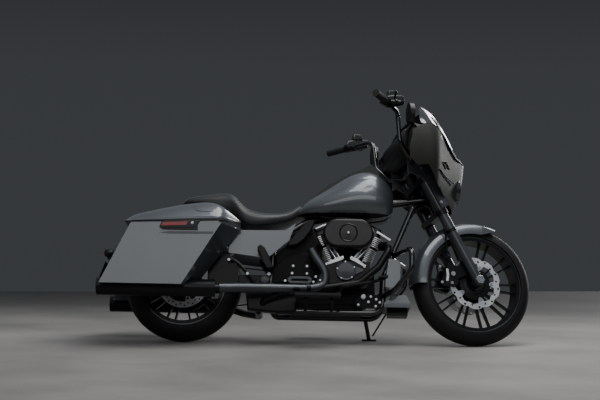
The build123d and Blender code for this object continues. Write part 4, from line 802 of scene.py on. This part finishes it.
for side_sign, name in SIDES:
    leg = side_sign * LEG_OUT
    collar = rod([along_fork(312, leg), along_fork(330, leg)], 31.5, 8)
    settle(f"slider_collar_{name}", collar, satin_black, "fork", TURNED)
    sleeve = rod([along_fork(421, leg), along_fork(708, leg)], 28.5, 8)
    settle(f"upper_sleeve_{name}", sleeve, graphite, "fork", TURNED)
    pipe = [
        along_fork(470, side_sign * 88), along_fork(400, side_sign * 84),
        (1452, side_sign * 96, 560), (1455, side_sign * 98, 480), (1462, side_sign * 86, 424)]
    settle(f"brake_pipe_{name}", rod(pipe, 4.0, 4, 3), satin_black, "fork", TURNED)
SKIRT = [
    (1206, 1044), (1225, 1050), (1270, 1015), (1319, 938), (1334, 884), (1273, 926), (1234, 940),
    (1212, 926)]
SHROUD = [(1268, 1000), (1350, 1002), (1438, 768), (1408, 748)]
both_sides("fork_skirt", flat(SKIRT, 144.0, 149.0, edge=1.5), slate_enamel, "fork", TURNED)
both_sides("shroud_plate", flat(SHROUD, 159.5, 163.0, edge=1.2), satin_grey, "fork", TURNED)
bolts("shroud_bolts", [(1290, 976), (1402, 778)], 164.0, "fork", 6.0, 9.0, 5.0, TURNED)
pinches = [along_fork(distance, 0)[::2] for distance in (-2, 20)]
bolts("slider_pinch_bolts", pinches, 148.0, "fork", 4.0, 6.0, 4.0, TURNED)
CALIPER_STRIPE = [(1443, 339), (1457, 339), (1462, 374), (1458, 410), (1444, 410), (1448, 374)]
settle(
    "caliper_stripe", flat(CALIPER_STRIPE, 93.0, 97.5, edge=1.0), machined_aluminium, "fork",
    TURNED)
bolts("caliper_ring_bolt", [(1486, 384)], 98.0, "fork", 7.0, 13.0, 4.0, TURNED)
bolts(
    "caliper_bolts", [(1420, 330), (1408, 420), (1478, 330)], 97.0, "fork", 5.0, 8.0, 5.0, TURNED)

# The fender's front lip tapers to a point over the tyre.
TAPER = [
    (1600, 616), (1700, 640), (1748, 660), (1776, 682), (1810, 700), (1900, 600), (1600, 560)]
fender_skin = carved("front_fender", TURNED, [flat(TAPER, -160.0, 160.0, edge=0.01)])
fender = settle("front_fender_skin", fender_skin, slate_enamel, "fork", TURNED)
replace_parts(fender, "front_fender")

# ---- Tank, console, side covers and fender ----
# A pressed steel tank with a black console along its top, over painted side covers and a wide
# rear fender.
dress(slate_enamel, "rear_fender", "side_covers", "lower_panels")


def dress_where(test, finish, rest, name):
    """Two finishes on a CAD node: one where a face's centre (mm) and direction pass a test."""
    piece = nodes[name]
    dress(rest, name)
    piece.data.materials.append(finish)
    upright = LEANED.inverted() @ piece.matrix_world
    tilt = upright.to_3x3()
    for face in piece.data.polygons:
        centre = upright @ face.center / MM
        face.material_index = int(test(centre, (tilt @ face.normal).normalized()))


# The tank's low, downward-facing faces are black as painted shade under the tank, and the
# regulator under the chin is black.
dress_where(
    lambda centre, facing: centre.z < 730.0 and facing.z < -0.45, satin_black, slate_enamel,
    "fuel_tank")
dress_where(lambda centre, facing: centre.z < 199.0, satin_black, slate_enamel, "chin")
# Moulded black plastic: dull with a fine leather-like grain.
black_plastic = surface("grained_black_plastic", "#121314", "#18191a", 0.5, grain=1.4, depth=0.08)
dress(black_plastic, "tank_console")

# ---- Seat ----
# One foam pad in smooth black vinyl: a dished rider's place, a step, and a thin passenger pad.
# Its cage is rounded by subdivision.

# Vinyl: near black with a soft sheen and a small pebble grain.
seat_vinyl, tree, spot = material("black_seat_vinyl")
pebble = add(tree, "ShaderNodeTexVoronoi", {"Vector": spot, "Scale": 420.0}).outputs["Distance"]
tone = ramp(tree, noise(tree, spot, 6.0, 4.0), [(0.3, "#101112"), (0.7, "#161718")])
shaded(tree, {
    "Base Color": tone, "Roughness": 0.42, "Sheen Weight": 0.15,
    "Normal": bumped(tree, pebble, 0.6, 0.0003)})

SEAT_STATIONS = [
    # x, half width, bottom, top
    (658, 40, 744, 782), (650, 62, 726, 788), (628, 78, 708, 776), (600, 88, 690, 760),
    (560, 99, 678, 741),
    (509, 120, 662, 733), (460, 140, 650, 733), (414, 146, 645, 738), (380, 147, 644, 746),
    (343, 146, 648, 762), (312, 140, 672, 792), (288, 130, 692, 822), (262, 118, 706, 844),
    (230, 110, 722, 850), (198, 108, 738, 848), (140, 106, 762, 840), (80, 104, 771, 830),
    (30, 101, 775, 820), (6, 98, 772, 812), (-8, 92, 766, 796), (-22, 84, 762, 776),
]
# Share of the half width and of the height at points down the right half of the section.
SEAT_SECTION = [
    (0.0, 1.0), (0.3, 0.995), (0.58, 0.965), (0.8, 0.88), (0.94, 0.7), (1.0, 0.45), (0.985, 0.2),
    (0.95, 0.04), (0.88, 0.0), (0.4, 0.0)]
SUBDIVISIONS = 3


def rounded(cage):
    """A holder that rounds a cage by subdivision."""
    holder = bpy.data.objects.new("cage", cage)
    rounding = holder.modifiers.new("rounding", "SUBSURF")
    rounding.levels = SUBDIVISIONS
    rounding.render_levels = SUBDIVISIONS
    return holder


ring = SEAT_SECTION + [(-y, h) for y, h in reversed(SEAT_SECTION[1:])]
points = [
    (x, -y * half, low + h * (high - low))
    for x, half, low, high in SEAT_STATIONS for y, h in ring]
pad = baked(rounded(ringed(points, len(ring), flipped=True)))
seat = settle("seat_pad", pad, seat_vinyl, "chassis", sharp=math.radians(80))
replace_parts(seat, "seat")

# ---- Saddlebags ----
# Hard moulded shells in body colour with a hinged lid, a rubber seal between them, and a black
# latch plate that carries a red reflector.
dress(slate_enamel, "saddlebag_right", "saddlebag_left")

LID_OUT = 430.0
LID_IN = 218.0
LID_REAR = -302.0
LID_LENGTH = 626.0
LID_STEPS = 48
LID_SILL = 604.0
SILL_RISE = 18.0
SILL_RUN = 530.0
BEND_FIRST = 200.0
BEND_MIDDLE = 228.0
BEND_LAST = 256.0
BEND_SLOPE = 212.0 / 98.0
LID_CREST = [
    (-302, 612), (-290, 634), (-262, 655), (-228, 668), (-120, 696), (-14, 720), (78, 734),
    (130, 739), (170, 737), (200, 728), (227, 714), (262, 693), (290, 674), (312, 658), (324, 649)]
# Share of the width and of the height at points round a lid's section, from its lip inward.
LID_SECTION = [
    (1.0, 0.0), (1.012, 0.04), (1.012, 0.14), (0.99, 0.22), (0.955, 0.36), (0.91, 0.52),
    (0.85, 0.68), (0.77, 0.82), (0.66, 0.92), (0.5, 0.98), (0.3, 1.0), (0.0, 1.0)]
# Points along the edge of the lid's moulded panel, where a dark rod is painted shade.
LID_PANEL_SHADE = [
    (52, 0.985), (58, 0.92), (66, 0.76), (78, 0.52), (98, 0.42), (130, 0.4), (190, 0.4),
    (236, 0.4)]
LID_RING = [*LID_SECTION, (0.0, 0.0)]
SEAM_STATIONS = (-302, 0, 200, 214, 228, 242, 256, 300, 322)
COLLAR_STATIONS = (-298, 196, 208, 222, 236, 252, 290, 320)
COLLAR_FOOT = 600.0


def between(table, place):
    """The value at a place in a table of places and values, straight between its rows."""
    for (x0, z0), (x1, z1) in zip(table, table[1:]):
        if place <= x1:
            return z0 + (z1 - z0) * (place - x0) / (x1 - x0)
    return table[-1][1]


def lid_width(x):
    """How far out a lid reaches at a place along it: even, eased in, then narrowing."""
    if x <= BEND_FIRST:
        return LID_OUT
    if x <= BEND_LAST:
        return LID_OUT - BEND_SLOPE * (x - BEND_FIRST) ** 2 / (2 * (BEND_LAST - BEND_FIRST))
    return LID_OUT - BEND_SLOPE * (x - BEND_MIDDLE)


def lid_foot(x):
    """How high a lid's lower edge is at a place along it."""
    return LID_SILL + SILL_RISE * (x - LID_REAR) / SILL_RUN + max(x - BEND_MIDDLE, 0.0) * 0.22


def lid_point(x, share, rise, side_sign):
    """A point on a lid in mm, at a share of its width and of its height."""
    out = LID_IN + (lid_width(x) - LID_IN) * share
    return (x, side_sign * out, lid_foot(x) + (between(LID_CREST, x) - lid_foot(x)) * rise)


side_shares = [(rise, share) for share, rise in LID_SECTION[3:]]
for side_sign, name in SIDES:
    points = [
        lid_point(LID_REAR + LID_LENGTH * i / LID_STEPS, share, rise, side_sign)
        for i in range(LID_STEPS + 1) for share, rise in LID_RING]
    shell = ringed(points, len(LID_RING), flipped=side_sign < 0)
    lid = settle(
        f"bag_lid_shell_{name}", shell, slate_enamel, f"bag_lid_{name}", sharp=math.radians(50))
    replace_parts(lid, f"bag_lid_{name}")
    seam = [(x, side_sign * (lid_width(x) + 0.5), lid_foot(x) - 3.0) for x in SEAM_STATIONS]
    settle(f"bag_seal_{name}", rod(seam, 3.5, 3), satin_black, "chassis")
    # A dark graphite rod along the edge of the lid's moulded panel is painted shade at that step.
    line = [
        lid_point(x, between(side_shares, rise), rise, side_sign) for x, rise in LID_PANEL_SHADE]
    settle(f"lid_panel_shade_line_{name}", rod(line, 2.0, 3, 3), graphite, f"bag_lid_{name}")
    mouth = [(x, lid_width(x) - 1.0) for x in COLLAR_STATIONS] + [(320, 219), (-298, 219)]
    points = [(x, side_sign * out, COLLAR_FOOT) for x, out in mouth]
    points += [(x, side_sign * out, lid_foot(x) + 2.0) for x, out in mouth]
    collar = ringed(points, len(mouth), flipped=side_sign < 0)
    collar.validate()
    settle(f"bag_collar_{name}", collar, slate_enamel, "chassis")
dress(black_plastic, "bag_latches")
# Red reflector: glossy acrylic over a prism back.
red_lens = surface("red_acrylic_lens", "#7a1016", "#93161d", 0.3, coat=0.2, grain=2.5, depth=0.15)
BEZEL = [
    (-112, 576), (-99, 604), (-92, 608), (98, 614), (108, 611), (86, 577), (68, 570), (-104, 565)]
REFLECTOR = [(-103, 578), (-94, 599), (46, 605), (33, 584)]
# A thin graphite wedge on each bag's side is painted shade for the shadow in its moulded groove.
GROOVE_SHADE = [(-112, 543), (-55, 551), (184, 553), (176, 540), (-55, 537)]
BARREL = [(8.0, 440.0), (8.0, 444.0), (6.0, 445.0), (0.5, 444.0)]
for name, mesh, finish in (
    ("latch_bezel", flat(BEZEL, 429.0, 441.0, edge=3.0), black_plastic),
    ("bag_reflector", flat(REFLECTOR, 440.0, 443.5, edge=1.2), red_lens),
    ("lock_barrel", turned(BARREL, 66, 597, 24), zinc_steel),
    ("bag_groove_shade", flat(GROOVE_SHADE, 428.0, 430.8, edge=0.4), graphite),
):
    both_sides(name, mesh, finish, "chassis")

# ---- Fairing ----
# A moulded shell in the body's enamel, coloured darker and warmer as painted shade, fixed to the
# fork, with a black inner panel, a smoked screen and a round lamp in its nose.

# Painted shade: the body's enamel made darker and warmer for the fairing, with a dull lacquer.
shaded_body_enamel = surface(
    "body_enamel_painted_shade", "#24231f", "#2a2924", 0.5, metallic=0.3, coat=0.12, grain=0.4,
    depth=0.004)
UNDERCUT = [
    (1140, 700), (1140, 820), (1212, 921), (1277, 938), (1352, 843), (1438, 795), (1501, 767),
    (1520, 700)]
undercut = flat(UNDERCUT, 100.0, 450.0, edge=0.01)
shell = carved("fairing", TURNED, [undercut, other_side(undercut)])
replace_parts(settle("fairing_shell", shell, shaded_body_enamel, "fork", TURNED), "fairing")
side_room = flat(UNDERCUT, 152.0, 450.0, edge=0.01)
lining = carved("inner_fairing", TURNED, [side_room, other_side(side_room)])
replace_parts(settle("fairing_lining", lining, black_plastic, "fork", TURNED), "inner_fairing")
# Dark air slots, and a black rod along a long moulded crease in the shell's lower cheek as its
# painted shade.
SHELL_SLOTS_AND_CREASE_SHADE = [
    [(1391, -254, 984), (1406, -238, 972), (1424, -217, 960)],
    [(1412, -231, 993), (1428, -212, 980), (1446, -190, 966)],
    # The long last line is the crease: a black rod as painted shade.
    [(1360, -276, 930), (1398, -236, 912), (1436, -191, 905), (1500, -128, 900)],
]
for index, dark_line in enumerate(SHELL_SLOTS_AND_CREASE_SHADE):
    for side_sign, name in SIDES:
        path = [(x, -side_sign * y, z) for x, y, z in dark_line]
        settle(f"shell_slot_{index}_{name}", rod(path, 3.0, 3, 3), satin_black, "fork", TURNED)
# Smoked polycarbonate: dark see-through plastic with a hard gloss.
smoked_screen, tree, spot = material("smoked_polycarbonate")
tone = ramp(tree, noise(tree, spot, 40.0, 4.0), [(0.3, "#1c1c1f"), (0.7, "#232326")])
shaded(tree, {
    "Base Color": tone, "Roughness": 0.1, "Coat Weight": 1.0, "Coat Roughness": 0.03,
    "Alpha": 0.9})
SCREEN_FOOT = [
    (1323, -284, 1190), (1387, -234, 1166), (1452, -146, 1106), (1534, -48, 1058), (1594, 0, 1052)]
SCREEN_BROW = [
    (1240, -322, 1176), (1262, -250, 1290), (1322, -160, 1342), (1376, -80, 1372), (1418, 0, 1382)]
SCREEN_LIP = [
    (1232, -318, 1190), (1250, -246, 1300), (1296, -156, 1352), (1340, -78, 1384), (1376, 0, 1396)]
SCREEN_SWELL = 14.0
SCREEN_THICK = 3.5


def across(line):
    """A line from the right edge to the middle, carried on to the left edge."""
    return [*line, *((x, -y, z) for x, y, z in reversed(line[:-1]))]


rows = []
for share in (0.0, 0.25, 0.5, 0.75, 0.94):
    swell = SCREEN_SWELL * math.sin(math.pi * share)
    rows.append([
        Vector(foot).lerp(Vector(brow), share)
        + Vector((swell, -swell * 0.5 * (1 - i / 4), swell * 0.3))
        for i, (foot, brow) in enumerate(zip(SCREEN_FOOT, SCREEN_BROW))])
rows.append(SCREEN_LIP)
points = [tuple(Vector(point) * MM) for row in rows for point in across(row)]
wide = 2 * len(SCREEN_FOOT) - 1
faces = [
    (a, a + 1, a + 1 + wide, a + wide)
    for a in range(len(points) - wide) if a % wide < wide - 1]
pane = bpy.data.meshes.new("pane")
pane.from_pydata(points, [], faces)
holder = rounded(pane)
body = holder.modifiers.new("body", "SOLIDIFY")
body.thickness = SCREEN_THICK * MM
body.offset = -1.0
screen = settle("screen_pane", baked(holder), smoked_screen, "fork", TURNED, math.radians(60))
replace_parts(screen, "windscreen")
GASKET = [
    (1318, -290, 1192), (1372, -258, 1168), (1406, -237, 1138), (1432, -214, 1102),
    (1462, -182, 1076), (1488, -155, 1059), (1510, -130, 1051), (1543, -94, 1053), (1596, 0, 1058)]
settle("screen_gasket", rod(across(GASKET), 6.0, 4, 3), satin_black, "fork", TURNED)
# Lamp glass: clear and hard over a grey bowl.
lamp_glass = surface(
    "clear_lamp_glass", "#3a3c3e", "#4a4c4e", 0.08, metallic=0.7, coat=1.0, grain=9.0, depth=0.2)
dress(lamp_glass, "headlight")

# ---- Bars, controls and mirrors ----
# A black tubular bar with ribbed rubber grips, cast lever housings and round-backed mirrors.

# Grip rubber: dull black with moulded ribs.
grip_rubber = surface("ribbed_grip_rubber", "#0f0f10", "#161617", 0.7, grain=2.0, depth=0.3)
dress(grip_rubber, "grips", "floorboards", "passenger_pegs")
dress(moulded_satin, "hand_controls")
MIRROR_SHIFT = Matrix.Translation((0.004, 0.0, -0.026))
mirrors = upright_mesh("mirrors", TURNED)
mirrors.transform(MIRROR_SHIFT)
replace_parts(settle("mirror_pair", mirrors, moulded_satin, "fork", TURNED), "mirrors")
# Switch housings and the fluid reservoirs beside them.
HOUSING = [
    (985, 1262), (1000, 1292), (1060, 1308), (1120, 1310), (1124, 1264), (1066, 1243),
    (1020, 1246)]
RESERVOIR = [(1030, 1300), (1036, 1334), (1082, 1336), (1090, 1300)]
housing = flat(HOUSING, 336.0, 384.0, edge=10.0)
both_sides("switch_housing", housing, moulded_satin, "fork", TURNED)
both_sides("reservoir", flat(RESERVOIR, 330.0, 376.0, edge=6.0), moulded_satin, "fork", TURNED)
dress(satin_black, "foot_controls", "shocks")
# The stand's tang, which a boot pushes down.
settle("stand_tang", rod([(1158, 226, 213), (1080, 226, 82)], 5.0, 4), powder_black, "side_stand")

# ---- Lights and plate ----
# A small tail lamp with two turn signals on the fender, over a blank plate.
# Red lens: moulded acrylic with a hard gloss.
signal_lens = surface(
    "tail_lamp_acrylic", "#5c1114", "#74181b", 0.15, coat=1.0, grain=3.0, depth=0.2)
LAMP_HEIGHT = 482.0
LAMP_SPREAD = 96.0
BULLET = [(9.0, 392.0), (20.0, 402.0), (23.0, 416.0), (23.0, 440.0), (21.0, 444.0), (18.0, 442.0)]
GLASS = [(18.5, 436.0), (18.5, 446.0), (14.0, 450.0), (0.5, 451.0)]
LAMP_BODY = [(-436, 458), (-444, 500), (-404, 506), (-396, 458)]
LAMP_PANE = [(-440, 464), (-447, 495), (-440, 497), (-432, 464)]
housings = [rod([(-404, -112, LAMP_HEIGHT), (-404, 112, LAMP_HEIGHT)], 9.0)]
lenses = []
for out in (-LAMP_SPREAD, LAMP_SPREAD):
    for profile, group in ((BULLET, housings), (GLASS, lenses)):
        part = turned(profile, 0, 0, 32)
        part.transform(Matrix.Translation((0, out * MM, LAMP_HEIGHT * MM)) @ REARWARD)
        group.append(part)
housings.append(flat(LAMP_BODY, -62.0, 62.0, edge=5.0))
lenses.append(flat(LAMP_PANE, -54.0, 54.0, edge=2.0))
lamps = settle("rear_lamp_housings", joined(housings), moulded_satin, "chassis")
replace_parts(lamps, "rear_lights")
settle("rear_lamp_lenses", joined(lenses), signal_lens, "chassis")
# Blank plate: white painted aluminium, a little glossy.
plate_white = surface("white_plate_enamel", "#c9cac8", "#d3d4d2", 0.4, grain=2.0, depth=0.01)
dress_where(lambda centre, facing: facing.x < -0.6, plate_white, black_plastic, "licence_plate")
# Drive belt: black toothed rubber.
dress(tyre_rubber, "drive_belt")
